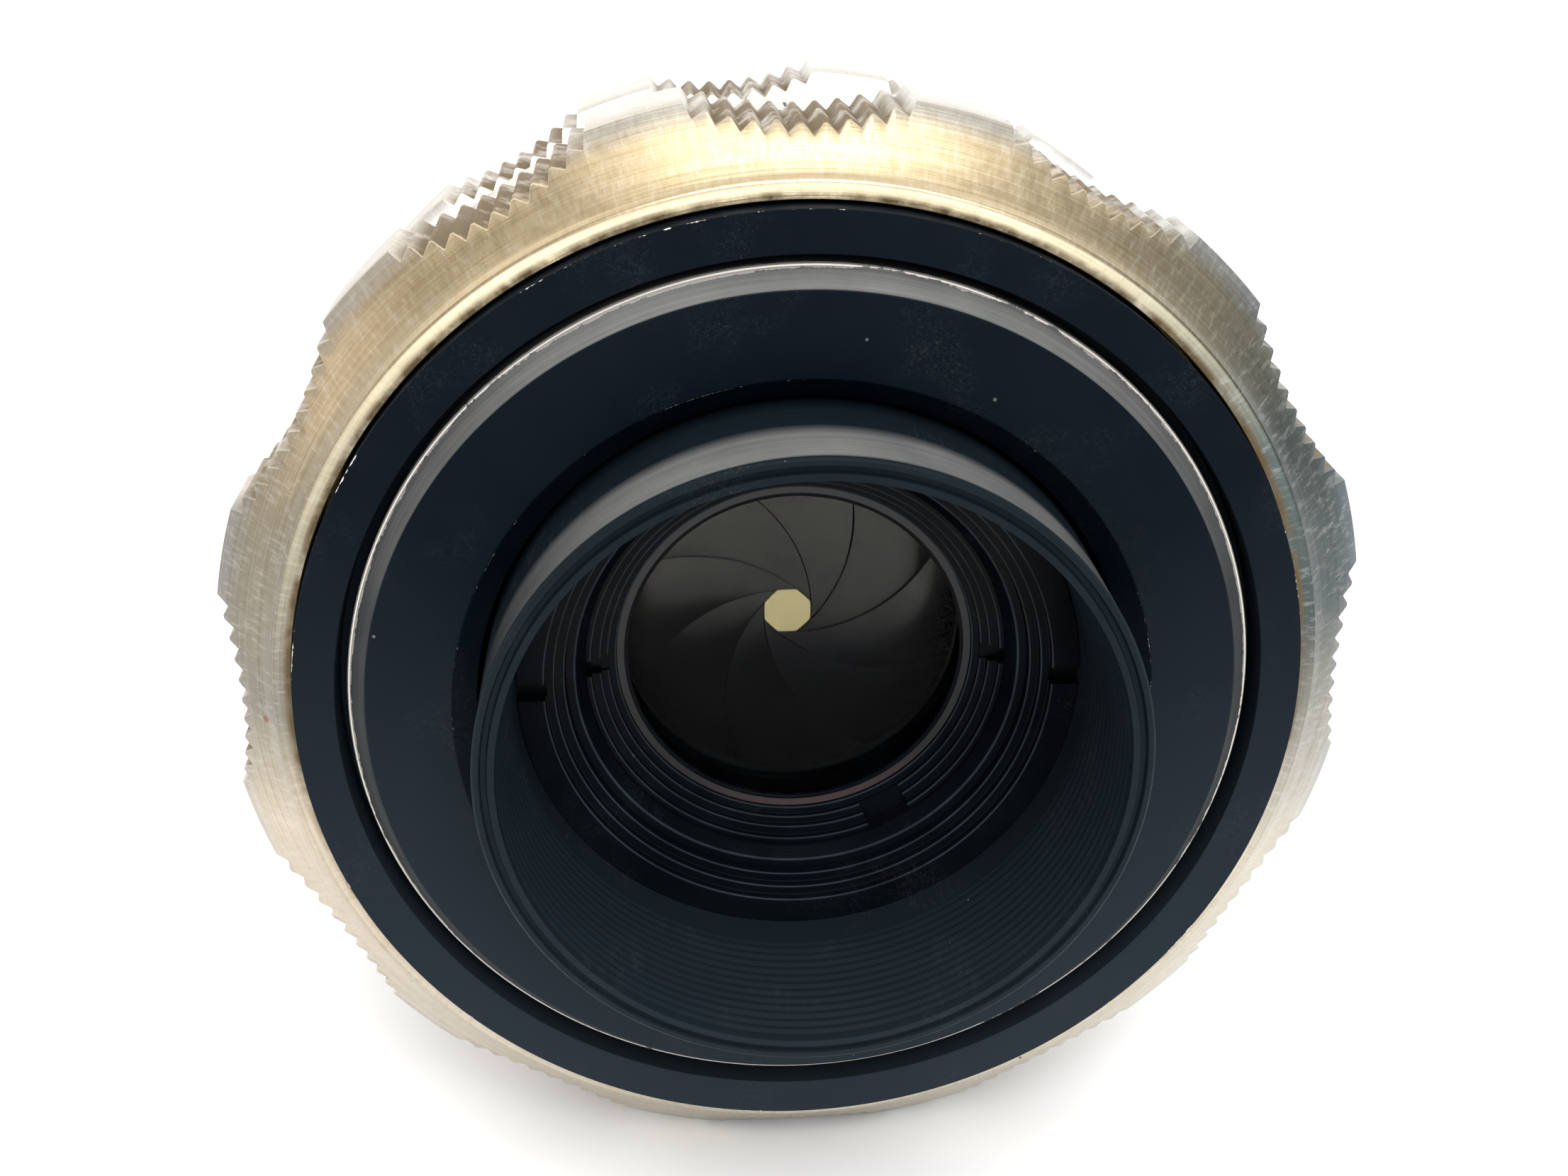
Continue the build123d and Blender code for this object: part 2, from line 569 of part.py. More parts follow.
# ---- the assembly ----------------------------------------------------------------------------------
def all_parts():
    parts = {
        "mount_boss": mount_boss(),
        "rear_flange_ring": rear_flange_ring(),
        "mount_barrel": mount_barrel(),
        "mount_screws": joined(mount_screw_set()),
        "flange_screws": joined(flange_screw_set()),
        "guide_keys": guide_keys(),
        "focus_retaining_ring": focus_retaining_ring(),
        "focus_stop_pin": stop_pin(),
        "focus_grip_ring": focus_grip_ring(),
        "focus_helicoid": focus_helicoid(),
        "helicoid_screws": joined(helicoid_screw_set()),
        "rear_tube": rear_tube(),
        "outer_lock_ring": outer_lock_ring(),
        "stepped_baffle": stepped_baffle(),
        "rear_lock_ring": rear_lock_ring(),
        "rear_cell": rear_cell(),
        "rear_element": lens_element(R_REAR_GLASS, 7.1, 6.2, 8.3, 8.9),
        "rear_cemented_element": lens_element(R_REAR_GLASS, 8.3, 8.9, 9.95, 10.3),
        "iris_seat_ring": iris_seat_ring(),
        "head_barrel": head_barrel(),
        "index_ring": index_ring(),
        "index_screws": index_screws(),
        "inner_sleeve": tube(*R_SLEEVE, Y_GRIP_WEB + 1.25, Y_INDEX[0]),
        "front_cell": front_cell(),
        "second_element": lens_element(R_MID_GLASS, 14.8, 15.6, 17.2, 16.5),
        "element_spacer": element_spacer(),
        "front_element": lens_element(R_FRONT_GLASS, 19.35, 18.9, 22.6, 24.6),
        "front_lock_ring": front_lock_ring(),
        "name_ring": name_ring(),
        "front_cone": front_cone(),
        "front_barrel": front_barrel(),
        "barrel_screws": barrel_screws(),
        "aperture_ring": aperture_ring(),
        "iris_cam_ring": iris_cam_ring(),
        "aperture_drive_screw": drive_screw(),
    }
    for blade in range(BLADES):
        parts[f"iris_blade_{blade + 1}"] = iris_blade(blade)
    return parts


row_frame = Pos(0, -Y_MIDDLE, REST_DROP)
os.makedirs("parts", exist_ok=True)
for node, shape in all_parts().items():
    export_step(row_frame * shape, f"parts/{node}.step")
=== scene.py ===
# %% [markdown]
# A small portrait lens, seen from its camera side, lying on the pads of its grip rings.
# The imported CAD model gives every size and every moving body. This script gives the looks:
# finely turned rings, knurled grips, an iris of thin blades, glass, worn plating and anodising.

# %% Load the frame
import math
import bmesh
import bpy
from mathutils import Matrix, Vector


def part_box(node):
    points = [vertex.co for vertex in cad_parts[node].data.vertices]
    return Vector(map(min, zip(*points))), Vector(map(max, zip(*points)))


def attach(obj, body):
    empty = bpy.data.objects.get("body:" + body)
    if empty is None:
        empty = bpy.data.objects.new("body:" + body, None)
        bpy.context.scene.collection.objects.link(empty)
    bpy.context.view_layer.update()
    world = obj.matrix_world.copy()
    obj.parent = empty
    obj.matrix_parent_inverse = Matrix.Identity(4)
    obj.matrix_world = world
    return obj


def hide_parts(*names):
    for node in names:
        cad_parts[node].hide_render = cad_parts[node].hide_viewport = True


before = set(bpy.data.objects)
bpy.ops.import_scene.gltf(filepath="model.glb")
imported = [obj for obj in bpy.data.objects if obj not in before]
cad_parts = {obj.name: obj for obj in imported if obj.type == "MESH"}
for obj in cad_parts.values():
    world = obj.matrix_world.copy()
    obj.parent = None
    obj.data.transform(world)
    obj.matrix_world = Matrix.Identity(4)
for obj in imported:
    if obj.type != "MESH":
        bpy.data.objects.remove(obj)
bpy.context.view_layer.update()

# %% [markdown]
# Lens makers measure along the axis from the flange face, and out from the axis. The script does
# the same, in millimetres: a point is (radius, y), with y = 0 at the flange face and y growing
# towards the front. Two boxes from the frame tell where that axis and that face are.

# %% Where the lens axis and the flange face are
MM = 0.001
tube_low, tube_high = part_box("rear_tube")
AXIS_Z = (tube_low.z + tube_high.z) / 2
FLANGE_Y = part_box("rear_flange_ring")[0].y
print("axis height", round(AXIS_Z / MM, 3), "mm, flange face at y", round(FLANGE_Y / MM, 3), "mm")


def span(node):
    """Rear and front ends of a CAD node along the axis, in millimetres from the flange face."""
    low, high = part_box(node)
    return (low.y - FLANGE_Y) / MM, (high.y - FLANGE_Y) / MM


def reach(node):
    """Largest radius of a CAD node that goes all the way round the axis, in millimetres."""
    low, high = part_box(node)
    return (high.x - low.x) / 2 / MM


def place(radius, y, angle):
    """Point of the row frame at an angle seen from the rear, counter-clockwise from the right."""
    turn = math.radians(angle)
    return Vector((radius * math.cos(turn) * MM, FLANGE_Y + y * MM, AXIS_Z + radius * math.sin(turn) * MM))


# %% [markdown]
# The camera looks at the rear of the lens from a little above, close enough for strong
# perspective. Its direction is set by three vectors, so it has no roll to guess.

# %% Camera
def make_camera():
    view_from = Vector((-6.83, -80.68, 43.04)) * MM
    forward = Vector((0.0653, 0.9097, -0.4099)).normalized()
    right = forward.cross(Vector((0, 0, 1))).normalized()
    up = right.cross(forward)
    camera = bpy.data.objects.new("camera", bpy.data.cameras.new("camera"))
    camera.data.lens = 42.3
    camera.data.clip_start = 0.002
    turn = Matrix((right, up, -forward)).transposed().to_4x4()
    camera.matrix_world = Matrix.Translation(Vector((0, FLANGE_Y, AXIS_Z)) + view_from) @ turn
    bpy.context.scene.collection.objects.link(camera)
    bpy.context.scene.camera = camera


make_camera()

# %% [markdown]
# Turned parts are closed outlines spun round the axis. Real edges are never perfectly sharp, so
# each corner of an outline is eased with a small arc, and a support point beside each arc keeps
# the flats flat in the shading. Spinning in code gives exact radii and clean, dense circles.

# %% Spun rings
SEGMENTS = 256
EASE = 0.07


def new_object(name, mesh):
    thing = bpy.data.objects.new(name, mesh)
    bpy.context.scene.collection.objects.link(thing)
    return thing


def finish_mesh(name, work, smooth_below=38):
    """Close a bmesh off: outward normals, smooth shading with crisp corners."""
    bmesh.ops.remove_doubles(work, verts=work.verts, dist=1e-7)
    bmesh.ops.recalc_face_normals(work, faces=work.faces)
    mesh = bpy.data.meshes.new(name)
    work.to_mesh(mesh)
    work.free()
    mesh.shade_smooth()
    mesh.set_sharp_from_angle(angle=math.radians(smooth_below))
    return new_object(name, mesh)


def eased(outline, ease):
    """Round the corners of a closed (radius, y) outline."""
    points = []
    count = len(outline)
    for i, corner in enumerate(outline):
        here = Vector(corner)
        before, after = Vector(outline[i - 1]) - here, Vector(outline[(i + 1) % count]) - here
        cut = min(ease, before.length * 0.3, after.length * 0.3)
        bend = math.pi - before.angle(after, math.pi)
        if corner[0] < 1e-6 or cut < 0.008 or bend < math.radians(8):
            points.append(here)
            continue
        start, end = here + before.normalized() * cut, here + after.normalized() * cut
        points.append(start + before.normalized() * cut * 0.5)
        for step in (0, 0.33, 0.67, 1):
            inner = start.lerp(here, step).lerp(here.lerp(end, step), step)
            points.append(inner)
        points.append(end + after.normalized() * cut * 0.5)
    return [(p[0], p[1]) for p in points]


def spin(name, outline, ease=EASE, segments=SEGMENTS):
    """Ring whose section is the closed outline."""
    outline = eased(outline, ease)
    work = bmesh.new()
    rows = []
    for i in range(segments):
        angle = 360 * i / segments
        rows.append([work.verts.new(place(radius, y, angle)) for radius, y in outline])
    for i, row in enumerate(rows):
        beside = rows[(i + 1) % segments]
        for j in range(len(row)):
            k = (j + 1) % len(row)
            work.faces.new((row[j], row[k], beside[k], beside[j]))
    if min(radius for radius, y in outline) < 1e-6:
        bmesh.ops.remove_doubles(work, verts=work.verts, dist=1e-7)
        for face in [f for f in work.faces if f.calc_area() < 1e-16]:
            work.faces.remove(face)
        loose = [v for v in work.verts if not v.link_faces]
        bmesh.ops.delete(work, geom=loose, context="VERTS")
    return finish_mesh(name, work)


# %% [markdown]
# Materials come before the pieces that wear them. Every finish on this lens was made on a lathe,
# so its grain runs round the axis. A noise texture read in polar coordinates gives that: fine in
# radius and along the axis, slow round the circle. The angle enters as its sine and cosine, which
# leaves no seam. These effects are shader groups, so every material shares them.

# %% Node helpers
def add(tree, kind, **settings):
    node = tree.nodes.new(kind)
    for name, value in settings.items():
        if name in node.inputs:
            node.inputs[name].default_value = value
        else:
            setattr(node, name, value)
    return node


def feed(tree, source, target):
    """Link a socket to the target, or set the target to a number or an (r, g, b)."""
    if isinstance(source, (int, float)):
        target.default_value = source
    elif isinstance(source, tuple):
        target.default_value = (*source, 1)
    else:
        tree.links.new(source, target)


def maths(tree, operation, first, second=None, clamp=False):
    """One Math node; each operand is a socket or a number."""
    node = add(tree, "ShaderNodeMath", operation=operation, use_clamp=clamp)
    feed(tree, first, node.inputs[0])
    if second is not None:
        feed(tree, second, node.inputs[1])
    return node.outputs[0]


def times(tree, first, second):
    return maths(tree, "MULTIPLY", first, second)


def plus(tree, first, second):
    return maths(tree, "ADD", first, second)


def minus(tree, first, second):
    return maths(tree, "SUBTRACT", first, second)


def over(tree, first, second):
    return maths(tree, "DIVIDE", first, second)


def distance(tree, across, along):
    """Length of the diagonal over two lengths at right angles."""
    return maths(tree, "SQRT", plus(tree, times(tree, across, across), times(tree, along, along)))


def stretch(tree, value, low, high, to_low=0.0, to_high=1.0):
    """Map a value's range, clamped; the ends may be sockets."""
    node = add(tree, "ShaderNodeMapRange", clamp=True)
    feed(tree, value, node.inputs["Value"])
    for name, operand in (("From Min", low), ("From Max", high), ("To Min", to_low), ("To Max", to_high)):
        feed(tree, operand, node.inputs[name])
    return node.outputs["Result"]


def mix_colour(tree, factor, first, second, blend="MIX"):
    """Mix two colours; each is a socket or an (r, g, b)."""
    node = add(tree, "ShaderNodeMix", data_type="RGBA", blend_type=blend)
    feed(tree, factor, node.inputs["Factor"])
    feed(tree, first, node.inputs[6])
    feed(tree, second, node.inputs[7])
    return node.outputs[2]


def combine(tree, **parts):
    """Vector from named parts, each a socket or a number."""
    node = add(tree, "ShaderNodeCombineXYZ")
    for axis, part in parts.items():
        feed(tree, part, node.inputs[axis])
    return node.outputs[0]


def polar_parts(tree):
    """Radius and y in millimetres, and the sine and cosine of the angle, from Object coordinates."""
    coordinate = add(tree, "ShaderNodeTexCoord")
    split = add(tree, "ShaderNodeSeparateXYZ")
    feed(tree, coordinate.outputs["Object"], split.inputs[0])
    x = over(tree, split.outputs["X"], MM)
    y = over(tree, minus(tree, split.outputs["Y"], FLANGE_Y), MM)
    z = over(tree, minus(tree, split.outputs["Z"], AXIS_Z), MM)
    radius = maths(tree, "MAXIMUM", distance(tree, x, z), 0.001)
    return radius, y, over(tree, x, radius), over(tree, z, radius)


def group(name, inputs, outputs):
    """A shader group with named float inputs and outputs."""
    tree = bpy.data.node_groups.new(name, "ShaderNodeTree")
    for label, value in inputs.items():
        socket = tree.interface.new_socket(label, in_out="INPUT", socket_type="NodeSocketFloat")
        socket.default_value = value
    for label in outputs:
        tree.interface.new_socket(label, in_out="OUTPUT", socket_type="NodeSocketFloat")
    return tree, add(tree, "NodeGroupInput").outputs, add(tree, "NodeGroupOutput").inputs


def noise_at(tree, vector, fourth, roughness):
    """Noise on a vector and a fourth coordinate that are already scaled."""
    noise = add(tree, "ShaderNodeTexNoise", noise_dimensions="4D", Scale=1.0, Detail=3.0, Roughness=roughness)
    feed(tree, vector, noise.inputs["Vector"])
    feed(tree, fourth, noise.inputs["W"])
    return noise.outputs["Fac"]


# %% Turned grain: fine lathe lines round the axis
def build_turned_grain():
    tree, given, out = group("turned_grain", {"Lines per mm": 9.0, "Round": 1.6, "Seed": 0.0}, ["Height"])
    radius, y, cosine, sine = polar_parts(tree)
    vector = combine(tree, X=times(tree, radius, given["Lines per mm"]),
                     Y=times(tree, cosine, given["Round"]), Z=times(tree, sine, given["Round"]))
    along = plus(tree, times(tree, y, given["Lines per mm"]), given["Seed"])
    feed(tree, noise_at(tree, vector, along, 0.65), out["Height"])
    return tree


turned_grain = build_turned_grain()


# %% Blotches, specks and chips
def object_noise(tree, scale, detail, roughness, seed):
    """Noise on Object coordinates; scale is in features per metre and may be a socket."""
    coordinate = add(tree, "ShaderNodeTexCoord")
    noise = add(tree, "ShaderNodeTexNoise", noise_dimensions="4D", Detail=detail, Roughness=roughness)
    feed(tree, coordinate.outputs["Object"], noise.inputs["Vector"])
    feed(tree, scale, noise.inputs["Scale"])
    feed(tree, seed, noise.inputs["W"])
    return noise.outputs["Fac"]


def build_specks():
    """Sparse dots, such as dust or corrosion pits: Mask is 1 on a dot."""
    sizes = {"Per metre": 900.0, "Size": 0.16, "Share": 0.25, "Seed": 0.0}
    tree, given, out = group("specks", sizes, ["Mask"])
    coordinate = add(tree, "ShaderNodeTexCoord")
    cells = add(tree, "ShaderNodeTexVoronoi", voronoi_dimensions="4D")
    feed(tree, coordinate.outputs["Object"], cells.inputs["Vector"])
    feed(tree, given["Per metre"], cells.inputs["Scale"])
    feed(tree, given["Seed"], cells.inputs["W"])
    split = add(tree, "ShaderNodeSeparateColor")
    feed(tree, cells.outputs["Color"], split.inputs[0])
    chosen = maths(tree, "LESS_THAN", split.outputs[0], given["Share"])
    size = times(tree, given["Size"], plus(tree, split.outputs[1], 0.25))
    dot = maths(tree, "LESS_THAN", cells.outputs["Distance"], size)
    feed(tree, times(tree, chosen, dot), out["Mask"])
    return tree


def build_chipped_edge():
    """A turned edge whose finish has flaked: Mask is 1 where bare metal shows."""
    sizes = {"Radius": 22.4, "Station": 0.7, "Width": 0.12, "Per metre": 900.0, "Amount": 0.5}
    tree, given, out = group("chipped_edge", sizes, ["Mask"])
    radius, y, cosine, sine = polar_parts(tree)
    chips = object_noise(tree, given["Per metre"], 3.0, 0.7, 3.0)
    far = distance(tree, minus(tree, radius, given["Radius"]), minus(tree, y, given["Station"]))
    near = maths(tree, "SUBTRACT", 1.0, over(tree, far, given["Width"]), clamp=True)
    stretches = minus(tree, object_noise(tree, 110.0, 3.0, 0.6, 9.0), 0.5)
    chips = plus(tree, chips, times(tree, stretches, 1.3))
    ragged = plus(tree, minus(tree, chips, 1.0), given["Amount"])
    score = plus(tree, near, times(tree, ragged, 2.2))
    mask = times(tree, stretch(tree, score, 0.75, 0.95), maths(tree, "GREATER_THAN", near, 0.02))
    feed(tree, mask, out["Mask"])
    return tree


def build_scuffs():
    """Short fine scratches in every direction: Mask is the strength of a scratch."""
    tree, given, out = group("scuffs", {"Per metre": 260.0, "Share": 0.05, "Seed": 0.0}, ["Mask"])
    coordinate = add(tree, "ShaderNodeTexCoord")
    total = None
    for turn in (0.4, 1.5, 2.6):
        mapping = add(tree, "ShaderNodeMapping", Rotation=(turn, turn * 0.7, turn), Scale=(1.0, 0.06, 1.0))
        feed(tree, coordinate.outputs["Object"], mapping.inputs["Vector"])
        cells = add(tree, "ShaderNodeTexNoise", noise_dimensions="4D", Detail=2.0, Roughness=0.8)
        feed(tree, mapping.outputs[0], cells.inputs["Vector"])
        feed(tree, times(tree, given["Per metre"], 8.0), cells.inputs["Scale"])
        feed(tree, plus(tree, given["Seed"], turn), cells.inputs["W"])
        middle = maths(tree, "ABSOLUTE", minus(tree, cells.outputs["Fac"], 0.5))
        line = maths(tree, "LESS_THAN", middle, times(tree, given["Share"], 0.1))
        total = line if total is None else maths(tree, "MAXIMUM", total, line)
    broken = stretch(tree, object_noise(tree, given["Per metre"], 2.0, 0.6, given["Seed"]), 0.52, 0.66)
    feed(tree, times(tree, total, broken), out["Mask"])
    return tree


def build_cross_marks():
    """Short marks across the lathe lines, left by grit and handling: Height is higher on a mark."""
    tree, given, out = group("cross_marks", {"Lines round": 110.0, "Length": 0.9, "Seed": 0.0}, ["Height"])
    radius, y, cosine, sine = polar_parts(tree)
    vector = combine(tree, X=times(tree, cosine, given["Lines round"]),
                     Y=times(tree, sine, given["Lines round"]), Z=over(tree, radius, given["Length"]))
    along = plus(tree, over(tree, y, given["Length"]), given["Seed"])
    feed(tree, noise_at(tree, vector, along, 0.7), out["Height"])
    return tree


specks = build_specks()
cross_marks = build_cross_marks()
chipped_edge = build_chipped_edge()
scuffs = build_scuffs()
print("shader groups:", [tree.name for tree in bpy.data.node_groups])


# %% Material helpers
def new_material(name):
    material = bpy.data.materials.new(name)
    material.use_nodes = True
    material.node_tree.nodes.clear()
    tree = material.node_tree
    shader = add(tree, "ShaderNodeBsdfPrincipled")
    output = add(tree, "ShaderNodeOutputMaterial")
    feed(tree, shader.outputs[0], output.inputs["Surface"])
    return material, tree, shader


def effect(tree, source, **values):
    """Place a shared effect with its own values and return its only output."""
    node = add(tree, "ShaderNodeGroup", node_tree=source)
    for label, value in values.items():
        node.inputs[label.replace("_", " ")].default_value = value
    return node.outputs[0]


def bump(tree, shader, layers):
    """Stack (height socket, distance in metres, strength) layers into the shader's normal."""
    normal = None
    for height, distance, strength in layers:
        node = add(tree, "ShaderNodeBump", Distance=distance, Strength=strength)
        feed(tree, height, node.inputs["Height"])
        if normal is not None:
            feed(tree, normal, node.inputs["Normal"])
        normal = node.outputs[0]
    feed(tree, normal, shader.inputs["Normal"])


# %% [markdown]
# The grip rings are plated brass, with the plating worn thin. A warm straw colour lies over the top:
# random tone, stronger on top as painted light. The right side is darkened to grey-blue as painted
# shade and reflection. The left side is darkened as painted shade and tinted pink as a painted
# reflection. The lower side is paler as painted light from the floor. The lip by the flange is
# pale on top as a painted highlight, and the stop ring's rear face is pale as painted light. Brown
# grime sits in the knurling, with fine pits. Colour patches are broad noise, grime follows the
# radius, because it gathers in the roots.

# %% Worn plating
NICKEL = (0.43, 0.415, 0.37)


def worn_plating(name, root=0.0, tip=1.0, rear=0.0, front=0.0, rear_slope=0.0, lit_rear_face=False):
    """Plated brass. On the knurling, between the stations rear (at the radius 26, with the slope of
    the ring's rear face) and front, grime fades from the radius root to tip. A ring with a pale rear
    face has that face rougher and painted near white, as painted light."""
    material, tree, shader = new_material(name)
    radius, y, cosine, sine = polar_parts(tree)
    grain = effect(tree, turned_grain, Lines_per_mm=7.0, Round=2.2)
    marks = effect(tree, cross_marks)
    broad = object_noise(tree, 55.0, 3.0, 0.6, 1.7)
    fine = object_noise(tree, 420.0, 4.0, 0.65, 5.1)
    # Pink: random tone from broad noise, leaning to the left side, where it is a painted reflection.
    pink_and_left_reflection = stretch(tree, minus(tree, times(tree, broad, 1.2), cosine), 0.5, 1.5)
    colour = mix_colour(tree, pink_and_left_reflection, NICKEL, (0.44, 0.385, 0.32))
    sloping = times(tree, stretch(tree, radius, 28.2, 29.1, 1.0, 0.0), stretch(tree, y, 4.4, 5.0, 1.0, 0.0))
    # Straw on the rear cone: random tone, stronger towards the top as painted light.
    straw_and_top_light = times(tree, sloping, stretch(tree, plus(tree, broad, sine), 0.2, 1.3, 0.25, 0.9))
    colour = mix_colour(tree, straw_and_top_light, colour, (0.50, 0.40, 0.245))
    # Painted light: paler towards the lower side, as if lit from the floor, in broad patches.
    painted_floor_light = times(tree, stretch(tree, sine, -0.75, 0.1, 0.4, 0.0), stretch(tree, broad, 0.3, 0.6, 0.6, 1.0))
    colour = mix_colour(tree, painted_floor_light, colour, (0.80, 0.73, 0.61))
    # Painted highlight: the lip by the flange is pale towards the top only.
    lip = times(tree, stretch(tree, radius, 25.9, 26.05, 1.0, 0.0), stretch(tree, y, 1.5, 1.8, 1.0, 0.0))
    colour = mix_colour(tree, times(tree, lip, stretch(tree, sine, 0.1, 0.8)), colour, (0.90, 0.78, 0.54))
    rearward = stretch(tree, y, 4.5, 6.5, 1.0, 0.25)
    # Painted shade: the left side of the rear cone is darkened and cooled.
    painted_left_shade = times(tree, stretch(tree, cosine, -0.55, -1.0), stretch(tree, sine, -0.25, 0.0))
    painted_left_shade = times(tree, painted_left_shade, rearward)
    colour = mix_colour(tree, painted_left_shade, colour, (0.47, 0.52, 0.58), "MULTIPLY")
    # Painted shade and reflection: the right side of the rear cone is darkened to grey-blue.
    painted_right_shade = times(tree, stretch(tree, cosine, 0.35, 0.88), stretch(tree, sine, -0.4, 0.15))
    painted_right_shade = times(tree, painted_right_shade, rearward)
    colour = mix_colour(tree, painted_right_shade, colour, (0.14, 0.205, 0.285), "MULTIPLY")
    lines = stretch(tree, grain, 0.4, 0.66, 0.0, 0.6)
    colour = mix_colour(tree, lines, colour, (0.66, 0.61, 0.53), "MULTIPLY")
    colour = mix_colour(tree, stretch(tree, marks, 0.52, 0.70, 0.0, 0.22), colour, (0.66, 0.64, 0.60))
    low_marks = stretch(tree, marks, 0.48, 0.32, 0.0, 0.35)
    colour = mix_colour(tree, low_marks, colour, (0.74, 0.66, 0.56), "MULTIPLY")
    pits = effect(tree, specks, Per_metre=820.0, Size=0.17, Share=0.07)
    colour = mix_colour(tree, times(tree, pits, 0.75), colour, (0.20, 0.07, 0.035))
    grime = 0.0
    if front > rear:
        depth = stretch(tree, radius, root, tip, 1.0, 0.0)
        slope = times(tree, minus(tree, radius, 26.0), rear_slope)
        inward = minus(tree, minus(tree, y, rear), slope)
        within = times(tree, stretch(tree, inward, 0.06, 0.3), stretch(tree, y, front - 0.1, front, 1.0, 0.0))
        patches = stretch(tree, plus(tree, fine, times(tree, broad, 0.3)), 0.50, 0.70)
        grime = times(tree, times(tree, depth, within), patches)
        colour = mix_colour(tree, grime, colour, (0.17, 0.125, 0.07))
    if lit_rear_face:
        # Painted light: the rear face is painted near white, as if lit from behind; it is also rougher.
        inward = minus(tree, y, times(tree, minus(tree, radius, 26.3), 0.32))
        face = stretch(tree, inward, rear + 0.1, rear + 0.2, 1.0, 0.0)
        colour = mix_colour(tree, face, colour, (0.97, 0.96, 0.94))
    feed(tree, colour, shader.inputs["Base Color"])
    shader.inputs["Metallic"].default_value = 1.0
    rough = stretch(tree, plus(tree, fine, times(tree, marks, 0.4)), 0.45, 1.0, 0.24, 0.42)
    if lit_rear_face:
        rough = plus(tree, rough, times(tree, face, 0.25))
    feed(tree, plus(tree, rough, times(tree, grime, 0.3)), shader.inputs["Roughness"])
    scratch = effect(tree, scuffs, Per_metre=240.0, Share=0.07)
    bump(tree, shader, [(grain, 0.00003, 0.5), (marks, 0.00002, 0.25),
                        (minus(tree, 1.0, pits), 0.00002, 0.35), (minus(tree, 1.0, scratch), 0.000008, 0.5)])
    return material


# %% [markdown]
# The mount, the tube and the barrel are black anodised aluminium: dark, satin, with a faint blue.
# Dust sits on it, and edges that have been rubbed show grey, most on top as painted light. The lower side is
# painted lighter as painted light from the floor, thin pale lines on some step edges are painted highlights,
# and one lip has flaked to bare metal.

# %% Black anodising
def anodised(name, rough=0.42, shade=(0.0010, 0.0036, 0.0076), dust=0.06, shine=0.05,
             low_side_light=0.75, edges=(), steps=(), wear_and_top_light=0.0, rubbed_from=0.0, rubbed_side=0.45,
             rubbed_span=(-99.0, 99.0)):
    """Black finish, painted lighter towards the lower side as painted light from the floor. edges lists
    (radius, station, width, amount, chips per metre) of chipped edges, and steps lists (radius,
    station) of edges that get thin pale lines as painted highlights. Outside the radius rubbed_from
    and within the stations rubbed_span it is worn grey along the lathe lines, fully on top and by
    rubbed_side elsewhere: the wear is real, and its lean to the top is painted light."""
    material, tree, shader = new_material(name)
    radius, y, cosine, sine = polar_parts(tree)
    grain = effect(tree, turned_grain, Lines_per_mm=8.0, Round=1.4, Seed=4.0)
    patch = object_noise(tree, 160.0, 4.0, 0.6, 2.2)
    colour = mix_colour(tree, stretch(tree, patch, 0.4, 0.75, 0.0, 0.6), shade, (0.0045, 0.0075, 0.0112))
    # Painted light: lighter towards the lower side, as if lit from the floor.
    colour = mix_colour(tree, stretch(tree, sine, 0.5, -0.9, 0.0, low_side_light), colour, (0.0225, 0.0310, 0.0400))
    scratch = effect(tree, scuffs, Per_metre=200.0, Share=0.035, Seed=2.0)
    colour = mix_colour(tree, times(tree, scratch, 0.14), colour, (0.14, 0.14, 0.14))
    motes = effect(tree, specks, Per_metre=1500.0, Size=0.13, Share=dust, Seed=1.0)
    colour = mix_colour(tree, times(tree, motes, 0.45), colour, (0.22, 0.21, 0.2))
    if wear_and_top_light:
        worn = stretch(tree, plus(tree, grain, patch), 0.8, 1.2, wear_and_top_light * 0.62, wear_and_top_light * 0.95)
        worn = times(tree, worn, stretch(tree, radius, rubbed_from, rubbed_from + 0.06))
        # The grey streaks are wear; their lean to the top is painted light, with rubbed_side the share
        # elsewhere.
        worn = times(tree, worn, stretch(tree, sine, 0.25, 0.95, rubbed_side, 1.0))
        worn = times(tree, worn, stretch(tree, y, rubbed_span[0], rubbed_span[0] + 0.25))
        worn = times(tree, worn, stretch(tree, y, rubbed_span[1] - 1.2, rubbed_span[1], 1.0, 0.0))
        colour = mix_colour(tree, worn, colour, (0.222, 0.220, 0.213))
    lines = None
    # Painted highlights: thin pale lines along the step edges.
    for edge_radius, station in steps:
        far = distance(tree, minus(tree, radius, edge_radius), minus(tree, y, station))
        line = stretch(tree, far, 0.045, 0.10, 1.0, 0.0)
        lines = line if lines is None else maths(tree, "MAXIMUM", lines, line)
    if lines is not None:
        lines = times(tree, lines, stretch(tree, patch, 0.35, 0.6, 0.35, 0.9))
        colour = mix_colour(tree, lines, colour, (0.034, 0.047, 0.057))
    bare = None
    for edge_radius, station, width, amount, per_metre in edges:
        chips = effect(tree, chipped_edge, Radius=edge_radius, Station=station, Width=width, Amount=amount,
                       Per_metre=per_metre)
        bare = chips if bare is None else maths(tree, "MAXIMUM", bare, chips)
    if bare is not None:
        colour = mix_colour(tree, bare, colour, (0.72, 0.68, 0.62))
        feed(tree, times(tree, bare, 0.6), shader.inputs["Metallic"])
    feed(tree, colour, shader.inputs["Base Color"])
    feed(tree, stretch(tree, patch, 0.3, 0.7, rough - 0.06, rough + 0.1), shader.inputs["Roughness"])
    shader.inputs["Specular IOR Level"].default_value = shine
    bump(tree, shader, [(grain, 0.00002, 0.35), (motes, 0.00002, 0.3)])
    return material


